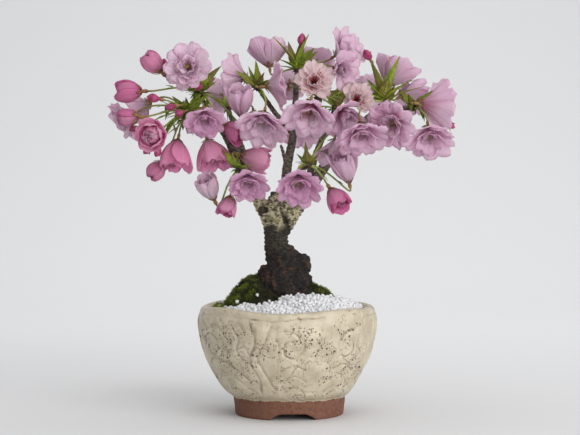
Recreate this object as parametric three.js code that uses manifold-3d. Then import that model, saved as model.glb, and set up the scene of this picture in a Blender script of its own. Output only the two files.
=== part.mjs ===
// A miniature cherry tree in full double blossom, growing in a round footed bowl.
// Units are millimetres, +Z is up. The origin is on the surface the bowl stands on, in the middle of
// the tree's spread. The tree's front, where the boughs open towards the viewer, faces -Y.
//
// The bowl holds soil, with a moss mound round the trunk and white gravel beside it. One piece of
// wood carries the boughs. Each spray is a green umbel of flower stalks, cups, small buds and young
// leaves on the tip of a twig, and each bloom is a whorl of petals seated in its cup.
import * as THREE from "three";
import { mergeVertices } from "three/addons/utils/BufferGeometryUtils.js";
import Module from "manifold-3d";

const wasm = await Module();
wasm.setup();

// ---- Driving dimensions ---------------------------------------------------------------------

const POT_RADIUS = 60; // widest, just under the lip
const POT_HEIGHT = 72;
const POT_X = 3; // the bowl stands a little to the right of the middle of the crown
const FOOT_RADIUS = 36;
const FLOOR_Z = 10; // top of the bowl's floor, inside
const FLOOR_UNDER_Z = 4.6; // underside of the floor, inside the foot ring
const DRAIN_RADIUS = 6.5;
const ROUND_SIDES = 28;
const SEAT_GAP = 0.3; // between pieces that rest on each other
const ROOT_GAP = 0.5; // round the trunk where it stands in the soil and moss
const PETAL_THICKNESS = 0.66;
const LEAF_THICKNESS = 0.7;
const NET_THICKNESS = 1;

// ---- Solids ---------------------------------------------------------------------------------

/** A closed geometry as a solid that can be joined and cut. */
function solidOf(geometry) {
  const plain = geometry.clone();
  for (const name of Object.keys(plain.attributes)) {
    if (name !== "position") plain.deleteAttribute(name);
  }
  const merged = mergeVertices(plain, 1e-4);
  return new wasm.Manifold(
    new wasm.Mesh({
      numProp: 3,
      vertProperties: merged.attributes.position.array,
      triVerts: new Uint32Array(merged.index.array),
    }),
  );
}

/** A closed geometry as a solid, whichever way round its triangles were listed. */
function facingOut(geometry) {
  const solid = solidOf(geometry);
  if (solid.volume() > 0) return solid;
  const index = geometry.index.array;
  for (let i = 0; i < index.length; i += 3) {
    [index[i + 1], index[i + 2]] = [index[i + 2], index[i + 1]];
  }
  return solidOf(geometry);
}

/** The closed skin that lists of points and of triangles of their numbers make, as a solid. */
function solidFrom(points, triangles) {
  const geometry = new THREE.BufferGeometry().setFromPoints(points);
  geometry.setIndex(triangles.flat());
  return facingOut(geometry);
}

/** The largest body of a solid, so that a loose scrap left by a cut is dropped. */
function mainBody(solid) {
  const bodies = solid.decompose();
  return bodies.reduce((a, b) => (a.volume() >= b.volume() ? a : b));
}

const joined = (solids) => wasm.Manifold.union(solids);

/** A solid as the geometry of a mesh. */
function geometryOf(solid) {
  const tidy = solid.simplify(0.01);
  const mesh = tidy.getMesh();
  const geometry = new THREE.BufferGeometry();
  geometry.setAttribute("position", new THREE.BufferAttribute(new Float32Array(mesh.vertProperties), 3));
  geometry.setIndex(new THREE.BufferAttribute(new Uint32Array(mesh.triVerts), 1));
  geometry.computeVertexNormals();
  return geometry;
}

const vec = (x, y, z) => new THREE.Vector3(x, y, z);
const radians = THREE.MathUtils.degToRad;

/** A repeatable draw from 0 to 1 for a pair of counting numbers. */
function draw(i, j) {
  const x = Math.sin(i * 12.9898 + j * 78.233) * 43758.5453;
  return x - Math.floor(x);
}

/** A tapered limb through [x, y, z, radius] stations, closed at both ends. */
function limb(stations, sides, steps, roughness = 0, seed = 0) {
  const line = new THREE.CatmullRomCurve3(stations.map(([x, y, z]) => vec(x, y, z)), false, "centripetal");
  const frames = line.computeFrenetFrames(steps, false);
  const points = [];
  for (let k = 0; k <= steps; k++) {
    const along = (k / steps) * (stations.length - 1);
    const low = Math.min(Math.floor(along), stations.length - 2);
    const radius = THREE.MathUtils.lerp(stations[low][3], stations[low + 1][3], along - low);
    const centre = line.getPoint(k / steps);
    for (let s = 0; s < sides; s++) {
      const a = (s / sides) * 2 * Math.PI;
      const r = radius * (1 + roughness * (draw(k + seed, s) - 0.5));
      points.push(
        centre
          .clone()
          .addScaledVector(frames.normals[k], r * Math.cos(a))
          .addScaledVector(frames.binormals[k], r * Math.sin(a)),
      );
    }
  }
  return tubeSolid(points, sides, steps);
}

/** Rings of points, one after another, as a tube with fanned ends. */
function tubeSolid(points, sides, steps) {
  const triangles = [];
  for (let k = 0; k < steps; k++) {
    for (let s = 0; s < sides; s++) {
      const a = k * sides + s;
      const b = k * sides + ((s + 1) % sides);
      triangles.push([a, b, b + sides], [a, b + sides, a + sides]);
    }
  }
  const last = steps * sides;
  for (let s = 1; s < sides - 1; s++) {
    triangles.push([0, s + 1, s], [last, last + s, last + s + 1]);
  }
  return solidFrom(points, triangles);
}

// ---- Bowl: one piece of glazed stoneware, with a bare clay foot ring cut by three arches --------

const POT_PROFILE = [
  [FOOT_RADIUS, 0],
  [FOOT_RADIUS + 1.2, 10],
  [43.5, 17.5],
  [50, 28],
  [55.6, 39.5],
  [58.9, 51],
  [POT_RADIUS, 62],
  [58.6, 69.6],
  [55, POT_HEIGHT],
  [51.8, 69.6],
  [51.2, 61],
  [47.6, 40],
  [34.6, 15.6],
  [29, FLOOR_Z],
  [DRAIN_RADIUS, FLOOR_Z],
  [DRAIN_RADIUS, FLOOR_UNDER_Z],
  [28.5, FLOOR_UNDER_Z],
  [29.4, 0],
];
const INNER_WALL = POT_PROFILE.slice(9, 14);
const ARCH_HALF_WIDTH = 14.5;
const ARCH_HEIGHT = 4.2;
const ARCH_TURNS = [-86, 34, 154]; // degrees round the foot

/** A turned solid from (radius, height) points, which close on themselves. */
function turned(profile, sides) {
  const outline = [...profile, profile[0]].map(([r, z]) => new THREE.Vector2(r, z));
  const geometry = new THREE.LatheGeometry(outline, sides);
  geometry.rotateX(Math.PI / 2);
  return facingOut(geometry);
}

/** What one arch takes out of the foot ring, at a turn in degrees round it. */
function footArch(turn) {
  const opening = new THREE.Shape();
  opening.moveTo(-ARCH_HALF_WIDTH, -1);
  opening.lineTo(-ARCH_HALF_WIDTH, 0);
  opening.quadraticCurveTo(-ARCH_HALF_WIDTH + 4, ARCH_HEIGHT, -ARCH_HALF_WIDTH + 7, ARCH_HEIGHT);
  opening.lineTo(ARCH_HALF_WIDTH - 7, ARCH_HEIGHT);
  opening.quadraticCurveTo(ARCH_HALF_WIDTH - 4, ARCH_HEIGHT, ARCH_HALF_WIDTH, 0);
  opening.lineTo(ARCH_HALF_WIDTH, -1);
  const settings = { depth: 24, bevelEnabled: false, curveSegments: 2 };
  const geometry = new THREE.ExtrudeGeometry(opening, settings);
  geometry.rotateX(Math.PI / 2);
  geometry.translate(0, -20, 0);
  geometry.rotateZ(radians(turn + 90));
  return solidOf(geometry);
}

function pot() {
  const arches = joined(ARCH_TURNS.map(footArch));
  return turned(POT_PROFILE, ROUND_SIDES).subtract(arches).translate(POT_X, 0, 0);
}

// ---- Drain net: a square of plastic mesh on the bowl's floor, over the drain hole ---------------

const NET_SIDE = 20;
const NET_BAR = 2;

/** The square net, with four openings between its bars. */
function drainNet() {
  const hole = (NET_SIDE - 3 * NET_BAR) / 2;
  const offset = (hole + NET_BAR) / 2;
  const plate = solidOf(new THREE.BoxGeometry(NET_SIDE, NET_SIDE, NET_THICKNESS));
  const holes = [-offset, offset].flatMap((x) =>
    [-offset, offset].map((y) => {
      const geometry = new THREE.BoxGeometry(hole, hole, 3 * NET_THICKNESS);
      return solidOf(geometry.translate(x, y, 0));
    }),
  );
  return plate.subtract(joined(holes)).translate(POT_X, 0, FLOOR_Z + SEAT_GAP + NET_THICKNESS / 2);
}

// ---- Wood: trunk, swollen stump, boughs and twigs, grown as one piece ---------------------------

const BARK_ROUGHNESS = 0.16;
const TRUNK_SIDES = 10;
const BOUGH_SIDES = 6;
const TWIG_SIDES = 4;

// Each limb is a run of [x, y, z, radius] stations.
const TRUNK = [
  [1, 0, 42, 7],
  [1, 0, 58, 12],
  [0, 0, 74, 16.5],
  [0, 0, 86, 17.5],
  [2.8, 0, 98, 16],
  [2.2, 0, 104.5, 14],
  [-3, 0, 109, 9],
  [-4.4, 0, 114.5, 7.8],
  [-4.4, 0, 123, 8.4],
  [-4, 0, 132, 6.5],
];
const BOUGHS = [
  [[-4.4, 0, 123, 7.6], [-5.2, -1.5, 135, 6.6], [-5.4, -2, 148, 5]], // a cut knob
  [
    [-4.4, 0, 120, 7],
    [-10, 0, 131, 5.6],
    [-16, 0, 142, 4.6],
    [-29, 0, 167, 4],
    [-37, -2, 185, 3.7],
    [-48.5, -5, 201.5, 2.4],
  ],
  [
    [-3, 0, 119, 6],
    [8, 0, 135.5, 5.4],
    [13.5, 1, 143, 4.6],
    [29, 6, 166, 3.6],
    [50, 5, 190, 2.7],
    [66.7, -2, 207, 1.7],
  ],
  [
    [-2, 2, 124, 6],
    [1.5, 2, 147, 3.7],
    [2.6, 0, 163, 3.3],
    [6.6, 0, 185, 2.9],
    [9.2, 4, 228, 1.7],
  ],
];
const TWIGS = [
  [[-44, -3.5, 195, 2.4], [-54, 0, 201, 1.9], [-62.4, -10, 199.8, 1.6]],
  [[-46.5, -4.5, 199, 2.2], [-52, 2, 206, 1.8], [-54.7, -6, 213.6, 1.6]],
  [[58, 2, 198, 2], [72, 6, 202, 1.7], [86.3, 4, 203.1, 1.5]],
  [[6.6, 0, 186, 2.2], [-6, 0, 201, 1.8], [-16.5, -4, 216.3, 1.5]],
  [[8, 1, 194, 2.1], [15, -3, 201, 1.8], [23, -8, 209.6, 1.5]],
  [[-25, 0, 160, 2.4], [-27, -11, 159, 2], [-28.6, -24, 163.3, 1.6]],
  [[2.4, 0, 156, 2.3], [8, -12, 158, 1.9], [16.3, -26, 165.9, 1.6]],
  [[-20, 0, 150, 3.2], [-26, 12, 171, 2.6], [-37.4, 30, 203.3, 1.6]],
  [[14, 1, 139, 3.4], [19, 13, 163, 2.7], [35, 28, 203.3, 1.6]],
  [[2.5, -1, 165, 1.8], [-1.5, -5, 179, 1]], // a dead twig
];

/** The trunk down to its root plug. Grown by `swell`, it cuts its own hole in what it stands in. */
function trunk(swell) {
  const stations = TRUNK.map(([x, y, z, radius]) => [x, y, z, radius + swell]);
  return limb(stations, TRUNK_SIDES, TRUNK.length + 1, BARK_ROUGHNESS);
}

/** All the wood, with a seat cut for each spray's hubs. */
function wood() {
  const boughs = BOUGHS.map((stations, n) =>
    limb(stations, BOUGH_SIDES, stations.length, BARK_ROUGHNESS, 11 * n),
  );
  const twigs = TWIGS.map((stations) => limb(stations, TWIG_SIDES, stations.length - 1));
  const sockets = Object.keys(SPRAYS).flatMap((name) => hubs(name, SEAT_GAP));
  return joined([trunk(0), ...boughs, ...twigs]).subtract(joined(sockets));
}

// ---- Sprays: the green umbels on the twig tips --------------------------------------------------

// Each has one or two hubs of bud scales. A leaf is [turn, lift, length, width]: turn is in degrees
// round Z from the front (-Y) towards +X, and lift is degrees above level.
const SPRAYS = {
  left: {
    hubs: [[-54.7, -6, 213.6], [-62.4, -10, 199.8]],
    leaves: [[40, 45, 28, 8], [70, 15, 20, 7], [-40, -50, 13, 5], [-10, -70, 14, 4]],
  },
  top_left: { hubs: [[-16.5, -4, 216.3]], leaves: [[40, 66, 12, 4], [160, 50, 13, 5]] },
  top: {
    hubs: [[9.2, 4, 228.3]],
    leaves: [[60, 78, 25, 6], [-75, 62, 27, 7], [-60, 35, 16, 5], [-90, 20, 14, 4], [130, 60, 18, 6]],
  },
  centre: { hubs: [[23, -8, 209.6]], leaves: [[60, 40, 12, 5]] },
  right: {
    hubs: [[66.7, -2, 207.1]],
    leaves: [
      [-40, 70, 31, 7],
      [40, 72, 33, 8],
      [70, 45, 25, 7],
      [80, 30, 27, 5],
      [-70, 50, 20, 5],
      [-80, 30, 20, 5],
      [10, 60, 21, 8],
    ],
  },
  far_right: { hubs: [[86.3, 4, 203.1]], leaves: [[-30, 60, 12, 5]] },
  low_left: { hubs: [[-28.6, -24, 163.3]], leaves: [[-30, 30, 11, 6], [70, 25, 10, 5]] },
  low_right: { hubs: [[16.3, -26, 165.9]], leaves: [[-10, 60, 12, 7], [-80, -20, 12, 4]] },
  back_left: { hubs: [[-37.4, 30, 203.3]], leaves: [[170, 60, 24, 7], [230, 35, 20, 6]] },
  back_right: { hubs: [[35, 28, 203.3]], leaves: [[150, 65, 24, 7], [200, 50, 22, 7]] },
};
const HUB_RADIUS = 2.7;
const STALK_RADIUS = 0.7;
const CUP_LENGTH = 5; // the green cup under each bloom, from stalk to petals
const CUP_RADIUS = 2.2;

/** Unit vector for a turn and lift in degrees. */
function heading(turn, lift) {
  const [t, l] = [radians(turn), radians(lift)];
  return vec(Math.sin(t) * Math.cos(l), -Math.cos(t) * Math.cos(l), Math.sin(l));
}

/** A spray's hubs of bud scales and what joins them. Grown by `swell`, they cut their own seats. */
function hubs(name, swell) {
  const places = SPRAYS[name].hubs.map((at) => vec(...at));
  const balls = places.map(({ x, y, z }) => {
    const geometry = new THREE.IcosahedronGeometry(HUB_RADIUS + swell, 0);
    return solidOf(geometry.translate(x, y, z));
  });
  const bridges = places.slice(1).map((at, h) => rod([[places[h], 1.4 + swell], [at, 1.4 + swell]], 4));
  return [...balls, ...bridges];
}

/** Rings square to a line of points, each [point, radius], as a closed stalk. */
function rod(stops, sides) {
  const points = [];
  stops.forEach(([at, radius], k) => {
    const before = stops[Math.max(k - 1, 0)][0];
    const after = stops[Math.min(k + 1, stops.length - 1)][0];
    const along = after.clone().sub(before).normalize();
    const level = Math.abs(along.z) > 0.9 ? vec(1, 0, 0) : vec(0, 0, 1);
    const side = along.clone().cross(level).normalize();
    const up = side.clone().cross(along);
    for (let s = 0; s < sides; s++) {
      const a = (s / sides) * 2 * Math.PI;
      const point = at.clone().addScaledVector(side, radius * Math.cos(a));
      points.push(point.addScaledVector(up, radius * Math.sin(a)));
    }
  });
  return tubeSolid(points, sides, stops.length - 1);
}

/** A flower stalk from its hub, curving in along the bloom's axis and flaring into the bloom's cup. */
function stalk(hub, base, axis, sway) {
  const end = base.clone().addScaledVector(axis, -CUP_LENGTH);
  const reach = hub.distanceTo(end);
  const leave = end.clone().sub(hub).normalize().add(vec(0, 0, 0.5)).normalize();
  const curve = new THREE.CubicBezierCurve3(
    hub,
    hub.clone().addScaledVector(leave, reach * 0.4).add(sway),
    end.clone().addScaledVector(axis, -reach * 0.3).add(sway),
    end,
  );
  const stops = [0, 0.5, 1].map((u) => [curve.getPoint(u), STALK_RADIUS]);
  return rod([...stops, [base.clone().addScaledVector(axis, -SEAT_GAP), CUP_RADIUS]], 4);
}

/** A closed bud: an egg of wrapped petals, small enough to belong to its spray. */
function smallBud(base, axis, length) {
  const at = (share) => base.clone().addScaledVector(axis, share * length);
  const r = 0.36 * length;
  return rod([[at(-0.15), 0.5 * r], [at(0.45), r], [at(1), 0.15 * r]], 4);
}

// Half outlines from foot to tip as [share of length, share of half width].
const TOOTHED_LEAF = [[0.02, 0.1], [0.36, 1], [0.42, 0.78], [0.72, 0.62]];
const PLAIN_BRACT = [[0.02, 0.2], [0.5, 1]];
const BRACT_LENGTH = 24; // a blade shorter than this is a bract with no teeth

/** A young leaf: a pointed blade with toothed edges, folded along its rib and arched. */
function leaf(from, [turn, lift, length, width]) {
  const along = heading(turn, lift);
  const side = along.clone().cross(vec(0, 0, 1)).normalize();
  const up = side.clone().cross(along).normalize();
  const place = (s, w, depth) => {
    const droop = -0.16 * length * s * s;
    const fold = 0.28 * Math.abs(w);
    return from
      .clone()
      .addScaledVector(along, s * length)
      .addScaledVector(side, w)
      .addScaledVector(up, droop + fold + depth);
  };
  const half = width / 2;
  const outline = length < BRACT_LENGTH ? PLAIN_BRACT : TOOTHED_LEAF;
  const n = outline.length;
  const left = outline.map(([s, w]) => [s, w * half]);
  const rib = outline.map(([s]) => [s, 0]);
  const right = outline.map(([s, w]) => [s, -w * half]);
  const flat = [...left, ...rib, ...right, [1, 0]];
  const points = [0.5, -0.5].flatMap((d) => flat.map(([s, w]) => place(s, w, d * LEAF_THICKNESS)));
  const tip = 3 * n;
  const faces = [];
  for (let k = 0; k < n - 1; k++) {
    for (const strip of [0, n]) {
      const [a, b] = [strip + k, strip + n + k];
      faces.push([a, b + 1, b], [a, a + 1, b + 1]);
    }
  }
  faces.push([n - 1, tip, 2 * n - 1], [2 * n - 1, tip, 3 * n - 1]);
  const rim = [...Array(n).keys(), tip, ...Array.from({ length: n }, (_, k) => 3 * n - 1 - k), n];
  return blade(points, faces, rim);
}

/** Two skins with the same faces, points listed top then bottom, closed round the faces' outline. */
function blade(points, faces, outline) {
  const n = points.length / 2;
  const under = faces.map(([a, b, c]) => [n + a, n + c, n + b]);
  const rim = outline.flatMap((a, k) => {
    const b = outline[(k + 1) % outline.length];
    return [[b, a, n + a], [b, n + a, n + b]];
  });
  return solidFrom(points, [...faces, ...under, ...rim]);
}

// ---- Blooms -------------------------------------------------------------------------------------

// How the whorls of each kind of bloom stand, outer one first. `share` is of the bloom's petal length.
// `claw` and `tip` are a petal's angles from the bloom's axis where it springs and where it ends.
// `width` is of the petal's own length, and `cup` is how far each half turns in, in degrees.
const KINDS = {
  open: [
    { count: 5, share: 1, claw: 52, tip: 94, width: 1.15, cup: 30, edge: "notched" },
    { count: 3, share: 0.66, claw: 24, tip: 52, width: 1.2, cup: 40, edge: "pointed" },
  ],
  bell: [
    { count: 5, share: 1, claw: 34, tip: 62, width: 1.25, cup: 36, edge: "notched" },
    { count: 3, share: 0.74, claw: 16, tip: 36, width: 1.2, cup: 50, edge: "pointed" },
  ],
  wide: [
    { count: 5, share: 1, claw: 40, tip: 84, width: 1.25, cup: 30, edge: "notched" },
    { count: 3, share: 0.7, claw: 18, tip: 46, width: 1.2, cup: 50, edge: "pointed" },
  ],
  skirt: [
    { count: 5, share: 1, claw: 54, tip: 4, width: 1.1, cup: 30, edge: "notched" },
    { count: 3, share: 0.76, claw: 30, tip: 0, width: 1.1, cup: 50, edge: "pointed" },
  ],
  rose: [
    { count: 5, share: 1, claw: 76, tip: 4, width: 1.2, cup: 50, edge: "blunt" },
    { count: 3, share: 0.84, claw: 48, tip: -24, width: 1.2, cup: 50, edge: "pointed" },
  ],
  cup: [
    { count: 5, share: 1, claw: 48, tip: -8, width: 0.65, cup: 50, edge: "blunt" },
    { count: 3, share: 0.8, claw: 26, tip: -10, width: 0.5, cup: 50, edge: "pointed" },
  ],
  half: [{ count: 4, share: 1, claw: 54, tip: -12, width: 0.8, cup: 50, edge: "blunt" }],
  bud: [{ count: 4, share: 1, claw: 64, tip: -44, width: 0.8, cup: 50, edge: "blunt" }],
  back: [
    { count: 5, share: 1, claw: 52, tip: 26, width: 1.2, cup: 36, edge: "blunt" },
    { count: 3, share: 0.66, claw: 24, tip: 10, width: 1.2, cup: 50, edge: "pointed" },
  ],
  faded: [
    { count: 5, share: 1, claw: 60, tip: 100, width: 0.7, cup: 50, edge: "notched" },
    { count: 3, share: 0.7, claw: 34, tip: 66, width: 0.6, cup: 60, edge: "pointed" },
  ],
};

// [node, spray, hub, kind, base of the petals, turn, lift, petal length, sway of the stalk]
const BLOOMS = [
  ["bloom_left_crown", "left", 0, "open", [-61, -22, 229], -5, 8, 16],
  ["bloom_left_upper_bud", "left", 0, "bud", [-80, -13, 227], -80, 46, 18],
  ["bloom_left_side_bud", "left", 0, "bud", [-93, -14, 214], -88, 0, 20],
  ["bloom_far_left", "left", 1, "bell", [-89, 12, 207], -115, -25, 17],
  ["bloom_left_low_bud", "left", 1, "bud", [-95, -20, 197], -88, -4, 15],
  ["bloom_far_left_low", "left", 1, "wide", [-100, 2, 198], -62, -32, 16],
  ["bloom_left_rose", "left", 1, "rose", [-83, -28, 186], -15, -5, 16],
  ["bloom_left_bottom_bud", "left", 1, "bud", [-80, -7, 167], -55, -50, 16],
  ["bloom_left_hanging", "left", 1, "skirt", [-69, -11, 182], -25, -68, 24],
  ["bloom_left_inner", "left", 1, "skirt", [-50, -7, 182], 38, -60, 24, [-3, -6, -3]],
  ["bloom_left_front", "left", 1, "bell", [-51, -31, 201], 8, -45, 18],
  ["bloom_left_opening", "left", 0, "half", [-37, -19, 192], 62, -32, 17],
  ["bloom_upper_cup", "left", 0, "cup", [-27, -11, 198], -12, 64, 23],
  ["bloom_top_left_side", "top_left", 0, "bell", [-24, 2, 223], -115, 12, 19],
  ["bloom_top_back", "top", 0, "back", [-9, 9, 231], 190, 60, 21],
  ["bloom_top_left_right", "top_left", 0, "wide", [-11, -16, 217], 100, 4, 18],
  ["bloom_centre_left", "top_left", 0, "bell", [-12, -31, 200], -12, -48, 22],
  ["bloom_centre_faded", "centre", 0, "faded", [20, -23, 219], 0, 15, 14],
  ["bloom_centre", "centre", 0, "bell", [18, -35, 207], -10, -48, 23],
  ["bloom_centre_right", "centre", 0, "bell", [38, -20, 203], 25, -38, 20],
  ["bloom_top_right", "top", 0, "bell", [35, 0, 238], 55, 30, 19],
  ["bloom_top_right_low", "top", 0, "wide", [35, -16, 229], 30, -12, 15],
  ["bloom_top_behind", "top", 0, "back", [20, 17, 226], 170, 52, 20],
  ["bloom_right_back", "right", 0, "back", [70, 10, 218], 125, 60, 23],
  ["bloom_far_right_side", "far_right", 0, "bell", [90, -4, 206], 116, -6, 25],
  ["bloom_far_right_low", "far_right", 0, "bell", [95, -14, 191], 4, -48, 22],
  ["bloom_right_rose", "right", 0, "wide", [74, -30, 195], -32, -20, 18],
  ["bloom_right_front", "right", 0, "bell", [50, -33, 193], 10, -50, 22],
  ["bloom_right_faded", "centre", 0, "faded", [48, -20, 208], -5, 10, 12],
  ["bloom_low_right_cup", "low_right", 0, "cup", [43, -22, 155], -28, 62, 24],
  ["bloom_low_right", "low_right", 0, "bell", [10, -41, 160], 0, -42, 20],
  ["bloom_low_left", "low_left", 0, "bell", [-23, -37, 160], 5, -42, 17],
  ["bloom_low_left_cup", "low_left", 0, "cup", [-45, -26, 144], -40, 56, 19],
  ["bloom_low_left_bud", "low_left", 0, "half", [-34, -24, 145], -40, -65, 15],
  ["bloom_low_right_bud", "low_right", 0, "half", [31, -29, 150], 42, -46, 18],
  ["bloom_low_inner", "low_left", 0, "half", [-27, -13, 172], 80, -14, 21],
  ["bloom_right_inner", "low_right", 0, "bell", [34, -7, 182], -15, -60, 18],
  ["bloom_right_behind", "right", 0, "wide", [79, 13, 211], 130, 22, 19],
  ["bloom_back_left", "back_left", 0, "back", [-39, 43, 212], 200, 0, 17],
  ["bloom_back_left_low", "back_left", 0, "bell", [-20, 35, 200], 170, -45, 18],
  ["bloom_back_middle", "back_right", 0, "bell", [12, 32, 194], 190, -55, 18],
  ["bloom_back_top", "back_right", 0, "back", [5, 45, 219], 180, 5, 17],
  ["bloom_back_right", "back_right", 0, "back", [54, 41, 216], 150, 0, 17],
  ["bloom_back_far_right", "back_right", 0, "bell", [66, 25, 193], 140, -50, 18],
];

// [spray, hub, base, turn, lift, length]
const SMALL_BUDS = [
  ["left", 0, [-78, 0, 230], -20, 70, 7],
  ["left", 1, [-82, -18, 209], -80, 10, 8],
  ["left", 1, [-71, -23, 204], -60, -10, 7],
  ["left", 1, [-66, -29, 200], -30, -10, 7],
  ["left", 1, [-96, -13, 190], -80, -20, 6],
  ["left", 1, [-87, -17, 177], -60, -40, 7],
  ["left", 1, [-81, -19, 176], -30, -50, 7],
  ["left", 0, [-55, -24, 217], 0, 0, 7],
  ["top", 0, [12, 4, 246], 20, 70, 8],
  ["right", 0, [57, -2, 236], -50, 50, 8],
  ["far_right", 0, [110, 8, 192], 60, -20, 6],
];

const CLAW_RADIUS = 1.2; // where the petals spring from the bloom's axis
const VALLEY = 0.22; // share of a petal's length where neighbours part
const BELLY = 0.56; // and where it is widest
const TIPS = {
  notched: [[0.96, -0.76], [0.9, 0], [0.96, 0.76]], // [share of length, share of half width]
  blunt: [[0.96, -0.6], [0.96, 0.6]],
  pointed: [[0.96, 0]],
};
const KNOB = 2; // thickness of the middle, under the stamens
const INNER_WHORL_RISE = 1.2;

const blooms = BLOOMS.map(([node, spray, hub, kind, base, turn, lift, size, sway = [0, 0, 0]]) => {
  const axis = heading(turn, lift);
  const across = vec(0, 0, 1).cross(axis).normalize();
  const upward = axis.clone().cross(across);
  return { node, spray, hub, kind, base: vec(...base), axis, across, upward, size, sway: vec(...sway) };
});

/** The middle of a petal's thickness at a share of its length and of its half width, and its normal. */
function petalPoint(bloom, whorl, place, { bend, scale }, s, t) {
  const length = bloom.size * whorl.share * scale;
  const claw = radians(whorl.claw);
  const sweep = radians(whorl.tip - bend) - claw || 0.01;
  const angle = claw + sweep * s;
  const radius = CLAW_RADIUS + (length * (Math.cos(claw) - Math.cos(angle))) / sweep;
  const height = (length * (Math.sin(angle) - Math.sin(claw))) / sweep + (whorl.rise ?? 0);
  const out = bloom.across.clone().multiplyScalar(Math.cos(place));
  out.addScaledVector(bloom.upward, Math.sin(place));
  const round = bloom.axis.clone().cross(out);
  const inward = out.clone().multiplyScalar(-Math.cos(angle));
  inward.addScaledVector(bloom.axis, Math.sin(angle));
  const curl = Math.tan(radians(whorl.cup) / 2);
  const sector = Math.tan(Math.PI / whorl.count);
  const widest = (0.94 * radius * sector) / (1 + sector * curl * Math.cos(angle));
  const side = t * Math.min(0.5 * length * whorl.width, widest);
  const point = bloom.base
    .clone()
    .addScaledVector(out, radius)
    .addScaledVector(bloom.axis, height)
    .addScaledVector(round, side)
    .addScaledVector(inward, curl * Math.abs(side));
  return { point, normal: inward };
}

/** A whorl as one thin skin, its petals joined near the claw. Each petal has a pose, or null for none. */
function corolla(bloom, whorl, turn, poses) {
  const { count } = whorl;
  const rise = whorl.rise ?? 0;
  const upper = [bloom.base.clone().addScaledVector(bloom.axis, rise + KNOB)];
  const lower = [bloom.base.clone().addScaledVector(bloom.axis, rise)];
  const put = (...where) => {
    const { point, normal } = petalPoint(bloom, whorl, ...where);
    upper.push(point.clone().addScaledVector(normal, PETAL_THICKNESS / 2));
    lower.push(point.clone().addScaledVector(normal, -PETAL_THICKNESS / 2));
    return upper.length - 1;
  };
  const placeOf = (i) => turn + (i * 2 * Math.PI) / count;
  const valleys = poses.map((_, i) => put(placeOf(i - 0.5), { bend: 0, scale: 1 }, VALLEY, 0));
  const faces = [];
  const outline = [];
  poses.forEach((pose, i) => {
    const [from, to] = [valleys[i], valleys[(i + 1) % count]];
    outline.push(from);
    if (!pose) {
      faces.push([0, from, to]);
      return;
    }
    const place = placeOf(i);
    const rib = put(place, pose, BELLY, 0);
    const bellies = [-1, 1].map((t) => put(place, pose, BELLY, t));
    const tips = TIPS[whorl.edge].map(([s, t]) => put(place, pose, s, t));
    const edge = [from, bellies[0], ...tips, bellies[1], to];
    faces.push([0, from, rib], [0, rib, to]);
    for (let k = 0; k < edge.length - 1; k++) faces.push([edge[k], edge[k + 1], rib]);
    outline.push(bellies[0], ...tips, bellies[1]);
  });
  return blade([...upper, ...lower], faces, outline);
}

/** The middle of a bloom, which its neighbours keep clear of before it has its petals. */
function core(bloom) {
  const at = (d) => bloom.base.clone().addScaledVector(bloom.axis, d);
  return rod([[at(0), CUP_RADIUS], [at(0.3 * bloom.size), 0.2 * bloom.size]], 6);
}

const boxed = (solid, owner) => ({ solid, owner, box: solid.boundingBox() });

/** Whether a solid keeps the seat gap from every solid in the list. */
function isClear(solid, others) {
  const box = solid.boundingBox();
  return others.every(({ solid: other, box: near }) => {
    const apart = [0, 1, 2].some(
      (i) => near.min[i] > box.max[i] + SEAT_GAP || near.max[i] < box.min[i] - SEAT_GAP,
    );
    return apart || solid.minGap(other, SEAT_GAP) > 0.9 * SEAT_GAP;
  });
}

const BENDS = [0, 14, -12, 28, 42, -24, 58]; // degrees a petal may close or open to stay clear
const LENGTHS = [1, 0.86, 0.72]; // and shares of its length it may stop at

/**
 * A bloom whose petals are each bent, or kept short, until they are clear of what is there already.
 * The inner whorl closes at least as far as the outer one, so that the two don't cross.
 */
function bloomSolid(bloom, n, others) {
  const spin = 2 * Math.PI * draw(n, 5);
  let closed = 0;
  const whorls = KINDS[bloom.kind].map((kind, w) => {
    const whorl = { ...kind, rise: w * INNER_WHORL_RISE };
    const turn = spin + (w * Math.PI) / whorl.count;
    const bends = w ? BENDS.filter((bend) => bend >= 0).map((bend) => bend + closed) : BENDS;
    const poses = Array.from({ length: whorl.count }, (_, i) => {
      const grown = 0.94 + 0.12 * draw(n, 20 + i + 7 * w);
      const lean = 8 * (draw(n, 40 + i + 7 * w) - 0.5);
      const choices = LENGTHS.flatMap((share) =>
        bends.map((bend) => ({ bend: bend + lean, scale: share * grown })),
      );
      const alone = (pose) => Array.from({ length: whorl.count }, (_, j) => (j === i ? pose : null));
      return choices.find((pose) => isClear(corolla(bloom, whorl, turn, alone(pose)), others)) ?? null;
    });
    closed = Math.max(closed, ...poses.filter(Boolean).map(({ bend }) => bend));
    return corolla(bloom, whorl, turn, poses);
  });
  return joined(whorls);
}

// ---- Soil, moss and gravel: what fills the bowl -------------------------------------------------

const FILL_SIDES = 24;
const GRAVEL_SIDES = 32;
const GROUND_Z = 65; // the soil's surface beside the mound
const MOSS_DEPTH = 4;
const MOSS_CENTRE = [-1, 0];
const MOSS_RINGS = 4;
const MOUND_RINGS = 3;
const MOSS_RELIEF = 1.6;
const MOSS_EDGE = [42, 43, 40, 39, 40, 41, 41, 38, 32, 24, 20.5, 29]; // radius every 30 degrees
const GRAVEL_RINGS = 4;
const GRAVEL_RELIEF = 2.6;
const GRAVEL_Z = 69;
const GRAVEL_LAP = 6; // how far it lies on the moss at the front right

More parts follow.
